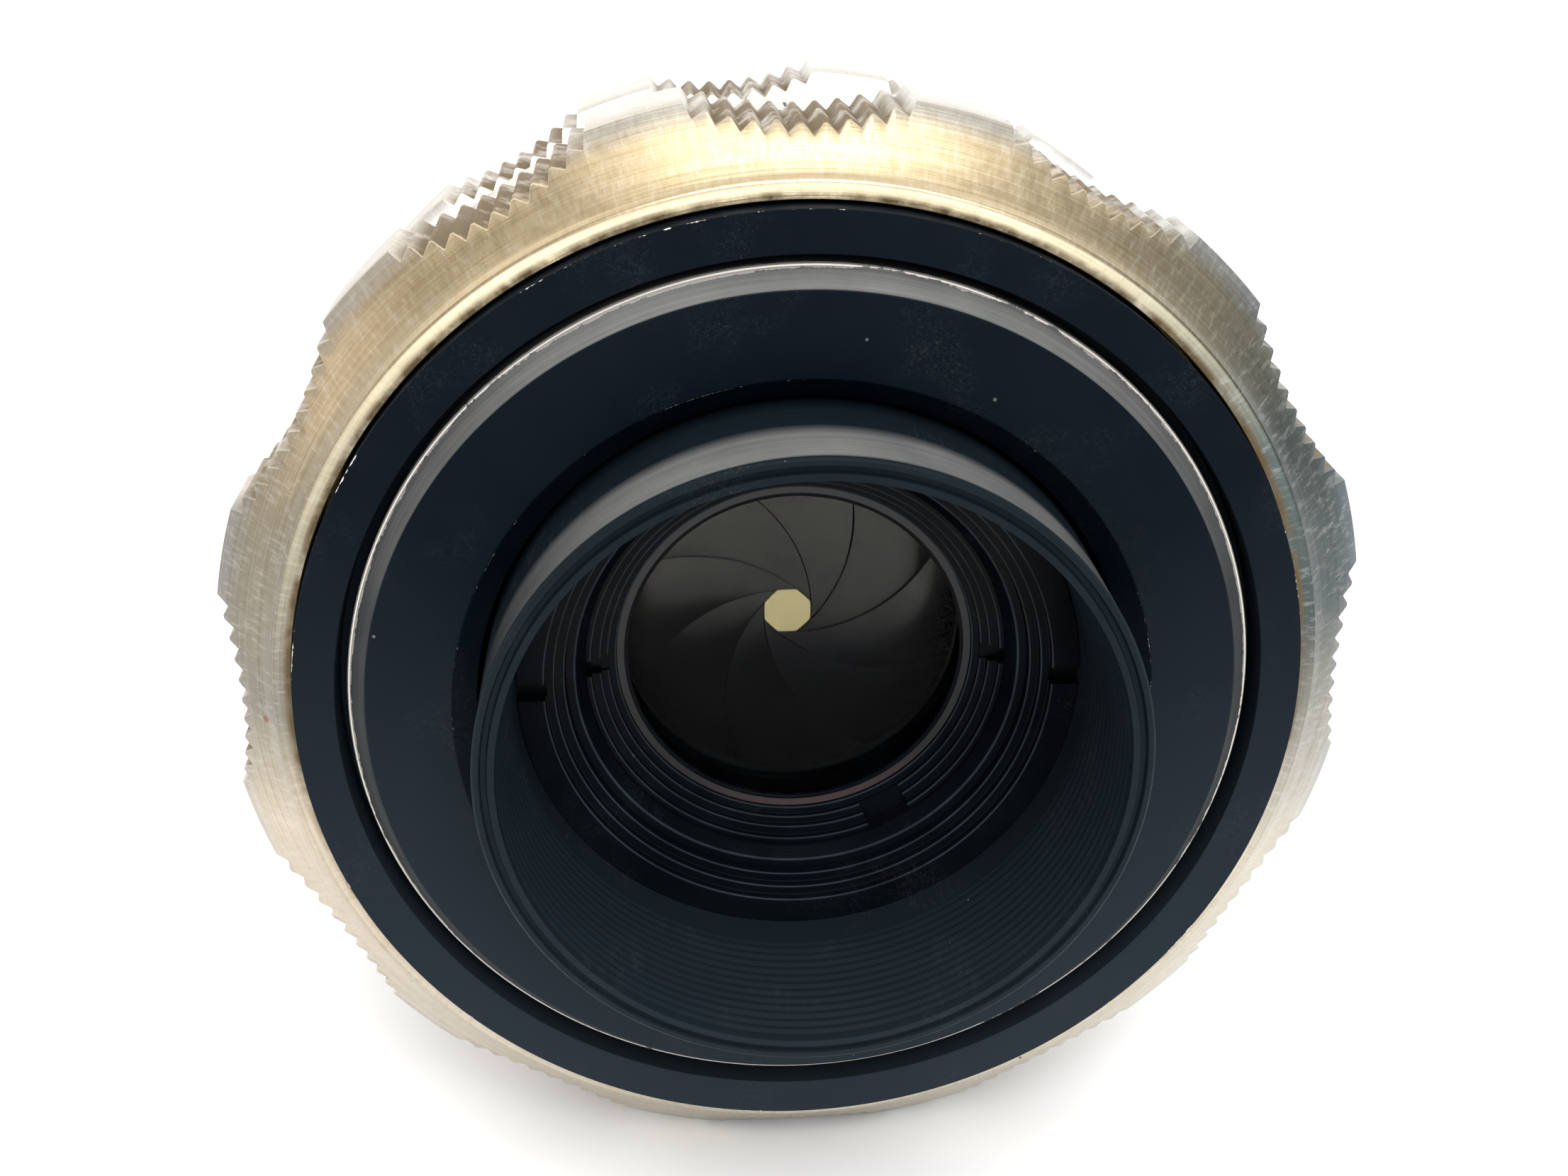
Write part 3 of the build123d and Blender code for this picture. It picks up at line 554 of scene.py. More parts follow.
# %% Other finishes
def turned_metal(name, base, rough):
    """Bare machined metal with lathe lines."""
    material, tree, shader = new_material(name)
    grain = effect(tree, turned_grain, Lines_per_mm=6.0, Round=2.0, Seed=7.0)
    patch = object_noise(tree, 250.0, 3.0, 0.6, 6.0)
    dark = tuple(channel * 0.6 for channel in base)
    feed(tree, mix_colour(tree, stretch(tree, patch, 0.4, 0.7), base, dark), shader.inputs["Base Color"])
    feed(tree, stretch(tree, grain, 0.3, 0.7, rough - 0.08, rough + 0.1), shader.inputs["Roughness"])
    shader.inputs["Metallic"].default_value = 1.0
    bump(tree, shader, [(grain, 0.00002, 0.4)])
    return material


def blade_steel():
    """Blackened satin steel, painted darker towards the lower side of the iris as painted shade. The closed
    iris is slightly dished, which the bump gives.
    """
    material, tree, shader = new_material("blade")
    radius, y, cosine, sine = polar_parts(tree)
    patch = object_noise(tree, 420.0, 4.0, 0.65, 6.0)
    colour = mix_colour(tree, stretch(tree, patch, 0.35, 0.7), (0.062, 0.060, 0.055), (0.048, 0.047, 0.044))
    # Painted shade: the blades darken towards the lower side.
    height = times(tree, radius, sine)
    colour = mix_colour(tree, stretch(tree, height, 1.4, -2.4), colour, (0.007, 0.008, 0.011))
    spots = effect(tree, specks, Per_metre=600.0, Size=0.1, Share=0.04, Seed=3.0)
    feed(tree, mix_colour(tree, spots, colour, (0.03, 0.025, 0.02)), shader.inputs["Base Color"])
    feed(tree, stretch(tree, patch, 0.3, 0.7, 0.17, 0.25), shader.inputs["Roughness"])
    shader.inputs["Metallic"].default_value = 1.0
    bump(tree, shader, [(times(tree, radius, -0.2), 0.001, 1.0)])
    return material


def coated_glass(name, tint):
    """Clear glass: light passes almost straight, and the coat carries the coloured reflection."""
    material, tree, shader = new_material(name)
    smear = object_noise(tree, 180.0, 3.0, 0.5, 8.0)
    feed(tree, stretch(tree, smear, 0.45, 0.8, 0.0, 0.008), shader.inputs["Roughness"])
    shader.inputs["Base Color"].default_value = (*tint, 1)
    shader.inputs["Transmission Weight"].default_value = 1.0
    shader.inputs["IOR"].default_value = 1.02
    shader.inputs["Coat Weight"].default_value = 0.02
    shader.inputs["Coat Roughness"].default_value = 0.02
    shader.inputs["Coat IOR"].default_value = 1.45
    shader.inputs["Coat Tint"].default_value = (1.0, 0.95, 0.97, 1)
    return material


def shadow_black(name):
    """Flat black for the bevelled edge of a blade: a painted shadow that shows as a thin line."""
    material, tree, shader = new_material(name)
    patch = object_noise(tree, 900.0, 2.0, 0.5, 3.0)
    colour = mix_colour(tree, patch, (0.001, 0.001, 0.001), (0.002, 0.002, 0.002))
    feed(tree, colour, shader.inputs["Base Color"])
    shader.inputs["Roughness"].default_value = 0.8
    shader.inputs["Specular IOR Level"].default_value = 0.0
    return material


def rim_with_painted_reflection(name):
    """A thin black ring by the edge of the glass, with a painted pink reflection of the coating along its
    lower side.
    """
    material, tree, shader = new_material(name)
    radius, y, cosine, sine = polar_parts(tree)
    # Painted reflection: pink towards the lower side.
    low = stretch(tree, minus(tree, times(tree, cosine, 0.1), sine), 0.72, 1.0)
    colour = mix_colour(tree, low, (0.004, 0.004, 0.005), (0.050, 0.027, 0.027))
    feed(tree, colour, shader.inputs["Base Color"])
    shader.inputs["Roughness"].default_value = 0.5
    return material


def paint(name, colour):
    """Paint rubbed into an engraving."""
    material, tree, shader = new_material(name)
    patch = object_noise(tree, 900.0, 3.0, 0.6, 9.0)
    worn = tuple(min(1.0, channel * 1.6 + 0.02) for channel in colour)
    feed(tree, mix_colour(tree, stretch(tree, patch, 0.5, 0.75), colour, worn), shader.inputs["Base Color"])
    shader.inputs["Roughness"].default_value = 0.6
    return material


# Step edges of the bore rings that get painted highlights: (radius, station).
PAINTED_STEP_HIGHLIGHTS = [(13.0, 2.8), (12.5, 3.3), (12.0, 3.8), (11.5, 4.4),
              (10.7, 5.3), (10.2, 5.7), (9.8, 6.05), (9.4, 6.4)]
BOSS_EDGES = [(22.40, 0.64, 0.30, 0.66, 1500.0), (17.28, -0.47, 0.06, 0.34, 2600.0)]
FINISH = {
    "plated_focus": worn_plating("plated_focus", 28.5, 29.3, 1.3, 9.4, rear_slope=0.847),
    "plated_stop": worn_plating("plated_stop", 27.3, 28.1, 17.5, 22.6, rear_slope=0.31, lit_rear_face=True),
    "plated_plain": worn_plating("plated_plain"),
    "boss_black": anodised("boss_black", edges=BOSS_EDGES, wear_and_top_light=0.8, rubbed_from=21.45, rubbed_side=0.3),
    "flange_black": anodised("flange_black", rough=0.5, dust=0.05, edges=[(24.98, 0.0, 0.11, 0.27, 1900.0)]),
    "tube_black": anodised("tube_black", shade=(0.0062, 0.0108, 0.0148), low_side_light=0.3, wear_and_top_light=0.7,
                           rubbed_from=15.6, rubbed_side=0.0, rubbed_span=(-6.75, -2.6),
                           edges=[(15.85, -6.95, 0.12, 0.27, 2200.0)]),
    "bore_black": anodised("bore_black", rough=0.30, shade=(0.0012, 0.0020, 0.0035), dust=0.04, shine=0.05,
                           low_side_light=0.06, steps=PAINTED_STEP_HIGHLIGHTS),
    "barrel_black": anodised("barrel_black", shine=0.3, edges=[(22.97, 38.0, 0.1, 0.42, 2600.0),
                                                              (21.6, 38.0, 0.08, 0.35, 2600.0)]),
    "brass": turned_metal("brass", (0.66, 0.47, 0.2), 0.34),
    "steel": turned_metal("steel", (0.42, 0.41, 0.4), 0.32),
    "blade": blade_steel(),
    "blade_edge_shadow": shadow_black("blade_edge_shadow"),
    "glass": coated_glass("glass", (0.975, 0.98, 0.97)),
    "warm_glass": coated_glass("warm_glass", (0.70, 0.655, 0.475)),
    "painted_rim_reflection": rim_with_painted_reflection("painted_rim_reflection"),
    "black_paint": paint("black_paint", (0.012, 0.012, 0.012)),
    "red_paint": paint("red_paint", (0.45, 0.02, 0.015)),
}
print("finishes:", sorted(FINISH))


# %% Dressing a piece
def dress(piece, body, finish, *nodes, slot=None):
    """Give a piece its finish and its body, and let it stand for CAD nodes."""
    piece.data.materials.clear()
    piece.data.materials.append(FINISH[finish])
    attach(piece, body)
    if nodes:
        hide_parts(*nodes)
    return piece


def finish_node(node, finish):
    """Give a CAD node that stays in view its finish."""
    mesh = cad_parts[node].data
    mesh.materials.clear()
    mesh.materials.append(FINISH[finish])


# %% [markdown]
# Now the rings, from the rear to the front. The flange ring is a plain flat washer. The boss
# inside it has a chamfered edge with a flaked lip, a flat face, and a small chamfer round its bore.

# %% Rear mount
def build_mount():
    outer, gap_in, gap_out = reach("rear_flange_ring"), 22.44, 22.95
    back = span("rear_flange_ring")[1]
    flange = spin("flange_ring_turned", [(gap_out, 0), (outer, 0), (outer, back), (gap_in, back),
                                         (gap_in, 2.2), (gap_out, 2.2)], ease=0.05)
    dress(flange, "mount", "flange_black", "rear_flange_ring", slot="black_anodised")
    rear = span("mount_boss")[0]
    lip = gap_in - 0.07
    bore, bore_edge, face_edge, lip_y = 16.15, 17.3, 21.43, 0.62
    boss = spin("boss_turned", [(bore, 0.65), (bore_edge, rear), (face_edge, rear), (lip - 0.06, lip_y),
                                (lip, lip_y), (gap_in, 0.72), (gap_in, back), (bore, back)], ease=0.05)
    dress(boss, "mount", "boss_black", "mount_boss", slot="black_anodised")
    low, high = span("mount_barrel")
    hub, thread_out, thread_in, web = 16.3, 23.6, 22.1, 5.0
    socket = [(hub, low), (outer, low), (outer, web), (thread_out, web), (thread_out, high),
              (thread_in, high), (thread_in, web), (hub, web)]
    barrel = spin("mount_barrel_turned", socket)
    dress(barrel, "mount", "bore_black", "mount_barrel", slot="black_anodised")
    for node in ("mount_screws", "flange_screws", "focus_stop_pin"):
        finish_node(node, "steel")
    for node in ("guide_keys", "focus_retaining_ring"):
        finish_node(node, "brass")


build_mount()

# %% [markdown]
# The rear tube's bore is cut with a fine stepped thread that traps stray light. Behind it sit a
# slotted lock ring, a baffle and a second slotted ring, in steps down to the edge of the glass.

# %% Rear tube and the stepped rings inside it
BORE_GROOVES = 13


def tube_outline():
    rim, front = span("rear_tube")
    wall, mouth, bore, bore_end = 15.87, 14.8, 14.43, 0.86
    pitch = (bore_end - rim - 0.3) / BORE_GROOVES
    outline = [(wall, 9.0), (wall, rim + 0.12), (wall - 0.12, rim), (15.52, rim), (15.45, rim + 0.3),
               (15.2, rim + 0.3), (15.13, rim), (mouth, rim)]
    for step in range(BORE_GROOVES):
        y = rim + 0.3 + pitch * step
        radius = mouth + (bore - mouth) * (step + 1) / BORE_GROOVES
        outline += [(radius, y), (radius, y + pitch * 0.35), (radius + 0.10, y + pitch * 0.55)]
    outline += [(bore, bore_end), (bore + 0.1, bore_end + 0.08), (bore, 2.2), (bore, front),
                (17.9, front), (17.9, 9.0)]
    return outline


def flatten(piece):
    """Turn a piece with modifiers into a plain mesh."""
    evaluated = piece.evaluated_get(bpy.context.evaluated_depsgraph_get())
    mesh = bpy.data.meshes.new_from_object(evaluated)
    piece.modifiers.clear()
    mesh.set_sharp_from_angle(angle=math.radians(35))
    piece.data = mesh


def subtract(piece, work):
    """Cut away from a piece what the closed shapes of a bmesh fill."""
    cutter = finish_mesh("cutter", work)
    cut = piece.modifiers.new("cut", "BOOLEAN")
    cut.operation, cut.object, cut.solver = "DIFFERENCE", cutter, "EXACT"
    flatten(piece)
    bpy.data.objects.remove(cutter)


def add_box(work, lengths, where):
    """Box with its lengths in millimetres, moved by a matrix."""
    box = bmesh.ops.create_cube(work, size=1.0)["verts"]
    size = Matrix.Diagonal((*(length * MM for length in lengths), 1))
    bmesh.ops.transform(work, verts=box, matrix=where @ size)


def on_ring(radius, y, angle):
    """Matrix that carries a shape from the origin, with X pointing outwards, to its place on a ring."""
    lift, swing = Matrix.Translation((0, 0, AXIS_Z)), Matrix.Rotation(math.radians(-angle), 4, "Y")
    return lift @ swing @ Matrix.Translation((radius * MM, FLANGE_Y + y * MM, 0))


def cut_slots(piece, slots):
    """Cut spanner slots: each is (angle, inner radius, outer radius, width, rear y, front y)."""
    work = bmesh.new()
    for angle, inner, outer, width, rear, front in slots:
        add_box(work, (outer - inner, front - rear, width),
                on_ring((inner + outer) / 2, (rear + front) / 2, angle))
    subtract(piece, work)


def cut_holes(piece, radius, inner, outer, y, angles):
    """Drill radial holes."""
    work = bmesh.new()
    lie = Matrix.Rotation(math.radians(90), 4, "Y")
    for angle in angles:
        rod = bmesh.ops.create_cone(work, cap_ends=True, segments=48, radius1=radius * MM,
                                    radius2=radius * MM, depth=(outer - inner) * MM)["verts"]
        bmesh.ops.transform(work, verts=rod, matrix=on_ring((inner + outer) / 2, y, angle) @ lie)
    subtract(piece, work)


def build_rear_group():
    tube = spin("rear_tube_turned", tube_outline(), ease=0.03)
    dress(tube, "head", "tube_black", "rear_tube", slot="black_anodised")
    cell = 14.4
    lock = spin("outer_lock_ring_turned", [(cell, 2.8), (13.0, 2.8), (13.0, 3.3), (12.5, 3.3), (12.5, 3.8),
                                           (12.0, 3.8), (12.0, 5.6), (cell, 5.6)], ease=0.05)
    cut_slots(lock, [(angle, 12.9, 15.4, 0.95, 2.0, 3.6) for angle in (0, 180)])
    dress(lock, "head", "bore_black", "outer_lock_ring", slot="black_anodised")
    wedge = [(12.0, 4.4), (11.5, 4.4), (11.0, 5.1), (11.0, 5.9), (12.0, 5.9)]
    baffle = spin("stepped_baffle_turned", wedge, ease=0.04)
    dress(baffle, "head", "bore_black", "stepped_baffle", slot="black_anodised")
    steps = [(11.0, 5.3), (10.7, 5.3), (10.7, 5.7), (10.2, 5.7), (10.2, 6.05), (9.8, 6.05), (9.8, 6.4),
             (9.4, 6.4), (9.4, 6.65), (8.8, 6.65), (8.8, 6.9), (11.0, 6.9)]
    inner = spin("rear_lock_ring_turned", steps, ease=0.04)
    cut_slots(inner, [(0, 9.5, 12, 0.9, 5, 6.2), (180, 9.5, 12, 0.9, 5, 6.2), (-62, 9.5, 12, 2.4, 5, 6.2)])
    dress(inner, "head", "bore_black", "rear_lock_ring", slot="black_anodised")
    # A thin black ring laid on the lock ring's last step, carrying a painted pink reflection along its lower
    # side.
    rim = spin("ground_rim_ring", [(9.0, 6.62), (9.37, 6.6), (9.37, 6.7), (9.0, 6.72)], ease=0.0)
    dress(rim, "head", "painted_rim_reflection", slot="optical_glass")
    holder = [(cell, 5.6), (12.0, 5.6), (12.0, 5.9), (11.0, 5.9), (11.0, 6.9), (9.6, 6.9), (9.6, 10.0),
              (9.2, 10.0), (9.2, 10.5), (cell, 10.5)]
    carrier = spin("rear_cell_turned", holder, ease=0.04)
    dress(carrier, "head", "bore_black", "rear_cell", slot="black_anodised")


build_rear_group()

# %% [markdown]
# A lens element is two shallow spheres and an edge. The outline has many points on each arc, and
# none of its corners is eased, so the glass stays smooth.

# %% Glass
ARC_STEPS = 24


def arc(radius, vertex, edge, outward):
    """Points of a spherical face from the axis to the rim, or back."""
    sag = edge - vertex
    ball = (radius ** 2 + sag ** 2) / (2 * abs(sag))
    points = []
    for step in range(ARC_STEPS + 1):
        r = radius * step / ARC_STEPS
        points.append((r, vertex + math.copysign(ball - math.sqrt(ball ** 2 - r ** 2), sag)))
    return points if outward else points[::-1]


def element(name, radius, edge_rear, rear_vertex, edge_front, front_vertex, node, finish="glass"):
    outline = arc(radius, rear_vertex, edge_rear, True) + arc(radius, front_vertex, edge_front, False)
    glass = spin(name, outline, ease=0.0, segments=128)
    return dress(glass, "head", finish, node, slot="optical_glass")


element("rear_element_glass", 9.6, 7.1, 6.2, 8.3, 8.9, "rear_element")
element("rear_cemented_element_glass", 9.6, 8.3, 8.9, 9.95, 10.3, "rear_cemented_element")
element("second_element_glass", 8.8, 14.8, 15.6, 17.2, 16.5, "second_element", "warm_glass")
element("front_element_glass", 10.5, 19.35, 18.9, 22.6, 24.6, "front_element", "warm_glass")

# %% [markdown]
# The iris has eight thin blades. Each is an arc of steel that hinges on a pin near its root and
# laps over its neighbour all the way round, so the blades can't lie in flat layers: each one
# slopes forwards from its root to its tip. The rest pose is the smallest stop.

# %% Iris blades
BLADES = 8
OPEN_RADIUS = 9.0
STOP_RADIUS = 1.27
BLADE_OUTER = 14.2
PIVOT_RADIUS = 15.6
BLADE_SPAN = 115.0
BLADE_THICK = 0.07
BLADE_REAR = span("iris_seat_ring")[1] + 0.08
BLADE_SLOPE = 0.8
BLADE_TURN = 2 * math.asin((OPEN_RADIUS - STOP_RADIUS) / (2 * PIVOT_RADIUS))


def build_blade(number):
    """One blade, modelled fully open and then swung closed, with a bevel along its inner edge in flat black,
    a painted shadow line.
    """
    contact = 360 / BLADES * number
    pivot = contact + 90 + math.degrees(BLADE_TURN) / 2
    steps = 56
    rows = []
    work = bmesh.new()
    for step in range(steps + 1):
        local = 5 - (BLADE_SPAN + 8) * step / steps
        tip = max(0.0, -local - (BLADE_SPAN - 6)) / 9
        waist = (BLADE_OUTER - OPEN_RADIUS) * (1 - tip ** 2) / 2 * 0.999
        ear = 2.2 * math.exp(-((local - 1.0) / 4.5) ** 2)
        middle = (OPEN_RADIUS + BLADE_OUTER) / 2
        y = BLADE_REAR + BLADE_SLOPE * (5 - local) / (BLADE_SPAN + 8)
        corners = [(middle - waist, y + 0.035), (middle - waist + 0.07, y), (middle + waist + ear, y),
                   (middle + waist + ear, y + BLADE_THICK), (middle - waist, y + BLADE_THICK)]
        rows.append([work.verts.new(place(radius, at, pivot + local)) for radius, at in corners])
    for row, beside in zip(rows, rows[1:]):
        for j in range(5):
            k = (j + 1) % 5
            work.faces.new((row[j], row[k], beside[k], beside[j]))
    work.faces.new(rows[0])
    work.faces.new(rows[-1][::-1])
    hinge = place(PIVOT_RADIUS, 0, pivot)
    swing = Matrix.Translation(hinge) @ Matrix.Rotation(BLADE_TURN, 4, "Y") @ Matrix.Translation(-hinge)
    bmesh.ops.transform(work, verts=work.verts, matrix=swing)
    blade = finish_mesh(f"iris_leaf_{number + 1}", work, smooth_below=50)
    dress(blade, f"blade_{number + 1}", "blade", f"iris_blade_{number + 1}", slot="blade_steel")
    # Second material: flat black on the bevels, a painted shadow line.
    blade.data.materials.append(FINISH["blade_edge_shadow"])
    for index, face in enumerate(blade.data.polygons[:5 * steps]):
        face.material_index = 1 if index % 5 in (0, 4) else 0


for blade_number in range(BLADES):
    build_blade(blade_number)
print("iris:", BLADES, "blades, each swings", round(math.degrees(BLADE_TURN), 2), "degrees")

# %% [markdown]
# The grip rings are the eye-catcher: smooth pads with hollows between them, and V-grooves milled
# across each hollow. The rule is simple, so the mesh is made column by column: the outline gives
# each column its radius, and the ring's section gives where that radius meets the cone and the
# chamfer. Every edge of the knurling is then exact.

# %% Knurled grip rings
def grip_columns(radius, lands, first, half_land, dip, grooves, depth):
    """(angle, radius) all the way round a grip; tips and roots are slightly blunt."""
    pitch = 360 / lands
    half_gap = math.radians(pitch / 2 - half_land)
    edge_x, edge_y = radius * math.cos(half_gap), radius * math.sin(half_gap)
    cutter = (edge_y ** 2 + (edge_x - dip) ** 2) / (2 * (edge_x - dip))
    centre = dip + cutter
    half_cut = math.atan2(edge_y, centre - edge_x)
    columns = []
    for land in range(lands):
        angle = first + pitch * land
        columns += [(angle + half_land * t / 5, radius) for t in range(-5, 6)]
        for groove in range(grooves):
            for along, sink in ((0.07, 0.0), (0.45, 0.93), (0.5, 1.0), (0.55, 0.93), (0.93, 0.0)):
                if groove == 0 and along == 0.07 or groove == grooves - 1 and along == 0.93:
                    continue
                swing = half_cut * (2 * (groove + along) / grooves - 1)
                far = cutter + depth * sink
                x, y = centre - far * math.cos(swing), far * math.sin(swing)
                columns.append((angle + pitch / 2 + math.degrees(math.atan2(y, x)), math.hypot(x, y)))
    return columns


def column_mesh(name, columns, section, smooth_below=30):
    """Closed ring whose section depends on the column's radius."""
    work = bmesh.new()
    rows = [[work.verts.new(place(r, y, angle)) for r, y in section(radius)] for angle, radius in columns]
    for row, beside in zip(rows, rows[1:] + rows[:1]):
        for j in range(len(row)):
            k = (j + 1) % len(row)
            work.faces.new((row[j], row[k], beside[k], beside[j]))
    bmesh.ops.recalc_face_normals(work, faces=work.faces)
    mesh = bpy.data.meshes.new(name)
    work.to_mesh(mesh)
    work.free()
    mesh.shade_smooth()
    mesh.set_sharp_from_angle(angle=math.radians(smooth_below))
    return new_object(name, mesh)


def along_line(points, r):
    """y of a line through (radius, y) points, where it reaches radius r."""
    for (r0, y0), (r1, y1) in zip(points, points[1:]):
        if min(r0, r1) <= r <= max(r0, r1):
            return y0 + (y1 - y0) * (r - r0) / (r1 - r0)
    return points[-1][1]


FOCUS_RADIUS = 29.4
FOCUS_GRIP = {"radius": FOCUS_RADIUS, "lands": 12, "first": 15.0, "half_land": 4.53, "dip": 28.1,
              "grooves": 10, "depth": 0.48}
STOP_GRIP_RADIUS = 28.2
STOP_GRIP = {"radius": STOP_GRIP_RADIUS, "lands": 14, "first": 82.3, "half_land": 4.12, "dip": 27.2,
             "grooves": 8, "depth": 0.45}
# Grub screws lie along a radius: their radius, foot, top and station.
INDEX_SCREW = {"radius": 0.8, "foot": 18.4, "top": 26.6, "y": 16.0}
BARREL_SCREW = {"radius": 0.8, "foot": 18.4, "top": 22.7, "y": 23.9}
DRIVE_SCREW = {"radius": 0.95, "foot": 16.9, "top": 26.2, "y": 19.4}
DRIVE_ANGLE = 240.0
RIDGE_END = 26.22
FOCUS_REAR = [(26.0, 1.3), (28.95, 3.8), (FOCUS_RADIUS + 0.01, 4.3)]
FOCUS_FRONT = [(27.3, 9.3), (29.1, 9.3), (FOCUS_RADIUS + 0.01, 9.0)]


def focus_section(radius):
    soft = 0.035
    rear, front = FOCUS_REAR, FOCUS_FRONT
    section = [(25.15, 5.0), (25.15, 1.12), (25.2, 1.06), (25.7, 1.04), (25.94, 1.0), (26.02, 1.02),
               (26.09, 1.08), (26.14, 1.18), (26.2, 1.38)]
    for share in (0.03, 0.35, 0.7):
        r = RIDGE_END + (radius - soft - RIDGE_END) * share
        section.append((r, along_line(rear, r)))
    section.append((radius - soft, along_line(rear, radius - soft)))
    section.append((radius, along_line(rear, radius) + soft))
    section.append((radius, along_line(front, radius) - soft))
    section.append((radius - soft, along_line(front, radius - soft)))
    section += [(27.3, 9.3), (27.2, 9.36), (27.2, 9.5), (27.2, 14.4), (27.13, 14.47), (27.05, 14.5),
                (26.6, 14.5), (26.6, 9.6), (25.6, 9.2), (25.6, 5.0)]
    return section


def stop_section(radius):
    soft = 0.035
    low, high = span("aperture_ring")
    rear = [(23.2, low), (26.3, low), (27.9, low + 0.5), (STOP_GRIP_RADIUS + 0.01, low + 0.8)]
    front = [(26.0, 22.5), (27.9, 22.5), (STOP_GRIP_RADIUS + 0.01, 22.2)]
    section = [(19.5, 18.2), (23.2, 18.2), (23.2, low + 0.05), (23.25, low), (26.2, low), (26.35, low + 0.02)]
    section.append((radius - soft, along_line(rear, radius - soft)))
    section.append((radius, along_line(rear, radius) + soft))
    section.append((radius, along_line(front, radius) - soft))
    section.append((radius - soft, along_line(front, radius - soft)))
    section += [(26.1, 22.5), (26.0, 22.6), (26.0, 22.75), (26.0, high - 0.1), (25.95, high - 0.03),
                (25.88, high), (23.2, high), (23.2, 20.6), (19.5, 20.6)]
    return section


def build_grips():
    focus = column_mesh("focus_grip_turned", grip_columns(**FOCUS_GRIP), focus_section)
    dress(focus, "focus_ring", "plated_focus", "focus_grip_ring", slot="plated_brass")
    stop = column_mesh("aperture_grip_turned", grip_columns(**STOP_GRIP), stop_section)
    cut_holes(stop, DRIVE_SCREW["radius"], 25.0, 29.5, DRIVE_SCREW["y"], [DRIVE_ANGLE])
    dress(stop, "aperture_ring", "plated_stop", "aperture_ring", slot="plated_brass")
    print("grip rings:", len(focus.data.polygons), "and", len(stop.data.polygons), "faces")
    finish_node("focus_helicoid", "brass")
    finish_node("helicoid_screws", "steel")
    finish_node("iris_cam_ring", "brass")


build_grips()

# %% [markdown]
# Towards the front come the fixed index ring, the barrel with its filter thread, and inside it
# the ridged cone, a plain ring and the front lock ring round the glass.

# %% Front half
INDEX_SCREW_ANGLES = [30, 150, 270]
BARREL_SCREW_ANGLES = [60, 180, 300]


def build_front():
    low, high = span("index_ring")
    inside, outside = 19.4, 27.0
    band = [(inside, low), (outside, low), (outside, high), (inside, high)]
    index = spin("index_ring_turned", band, ease=0.12)
    cut_holes(index, INDEX_SCREW["radius"], 25.0, 28.0, INDEX_SCREW["y"], INDEX_SCREW_ANGLES)
    dress(index, "head", "plated_plain", "index_ring", slot="plated_brass")
    low, high = span("inner_sleeve")
    sleeve = spin("inner_sleeve_turned", [(25.7, low), (26.5, low), (26.5, high), (25.7, high)])
    dress(sleeve, "head", "plated_plain", "inner_sleeve", slot="plated_brass")
    low, high = span("front_barrel")
    thread = []
    crest, pitch, thread_depth, turns, thread_start = 21.48, 0.75, 0.35, 5, high - 4.0
    for turn in range(turns):
        y = high - 0.35 - pitch * turn
        thread += [(crest, y), (crest + thread_depth, y - pitch * 0.42), (crest, y - pitch * 0.84)]
    wall, hollow, floor_y = 23.0, 21.1, 25.2
    shell = [(inside, low), (wall, low), (wall, high), (21.7, high), *thread, (crest, thread_start),
             (hollow, thread_start), (hollow, floor_y), (inside, floor_y)]
    barrel = spin("front_barrel_turned", shell, ease=0.05)
    cut_holes(barrel, BARREL_SCREW["radius"], 21.8, 24.0, BARREL_SCREW["y"], BARREL_SCREW_ANGLES)
    dress(barrel, "head", "barrel_black", "front_barrel", slot="black_anodised")
    steps, inner, outer, rear, top = 9, 17.3, 20.7, 26.0, 33.0
    run, rise = (outer - inner) / steps, (top - rear - 0.6) / steps
    outline = [(inner, rear), (hollow, rear), (hollow, top), (outer, top)]
    for step in range(steps):
        y = top - rise * (step + 1)
        outline += [(outer - run * step, y), (outer - run * (step + 1), y)]
    cone = spin("front_cone_turned", outline, ease=0.05)
    dress(cone, "head", "bore_black", "front_cone", slot="black_anodised")
    disc = [(11.9, 25.4), (17.2, 25.4), (17.2, 26.6), (16.9, 26.6), (16.85, 26.5), (12.9, 26.23),
            (12.85, 26.3), (12.4, 26.2)]
    plain = spin("name_ring_turned", disc, ease=0.05)
    dress(plain, "head", "barrel_black", "name_ring", slot="black_anodised")
    stepped = [(9.7, 23.1), (10.5, 23.1), (10.5, 24.2), (11.9, 24.2), (11.9, 25.4), (10.4, 25.4)]
    lock = spin("front_lock_ring_turned", stepped)
    cut_slots(lock, [(angle, 10.6, 13.0, 1.0, 24.8, 26.0) for angle in (0, 180)])
    dress(lock, "head", "bore_black", "front_lock_ring", slot="black_anodised")
    for node in ("iris_seat_ring", "head_barrel", "front_cell", "element_spacer"):
        finish_node(node, "bore_black")


build_front()

# %% [markdown]
# Grub screws and scale ticks repeat round the axis, so one Geometry Nodes group makes them all: it
# sets copies of a model piece round the axis and bakes them into one mesh.

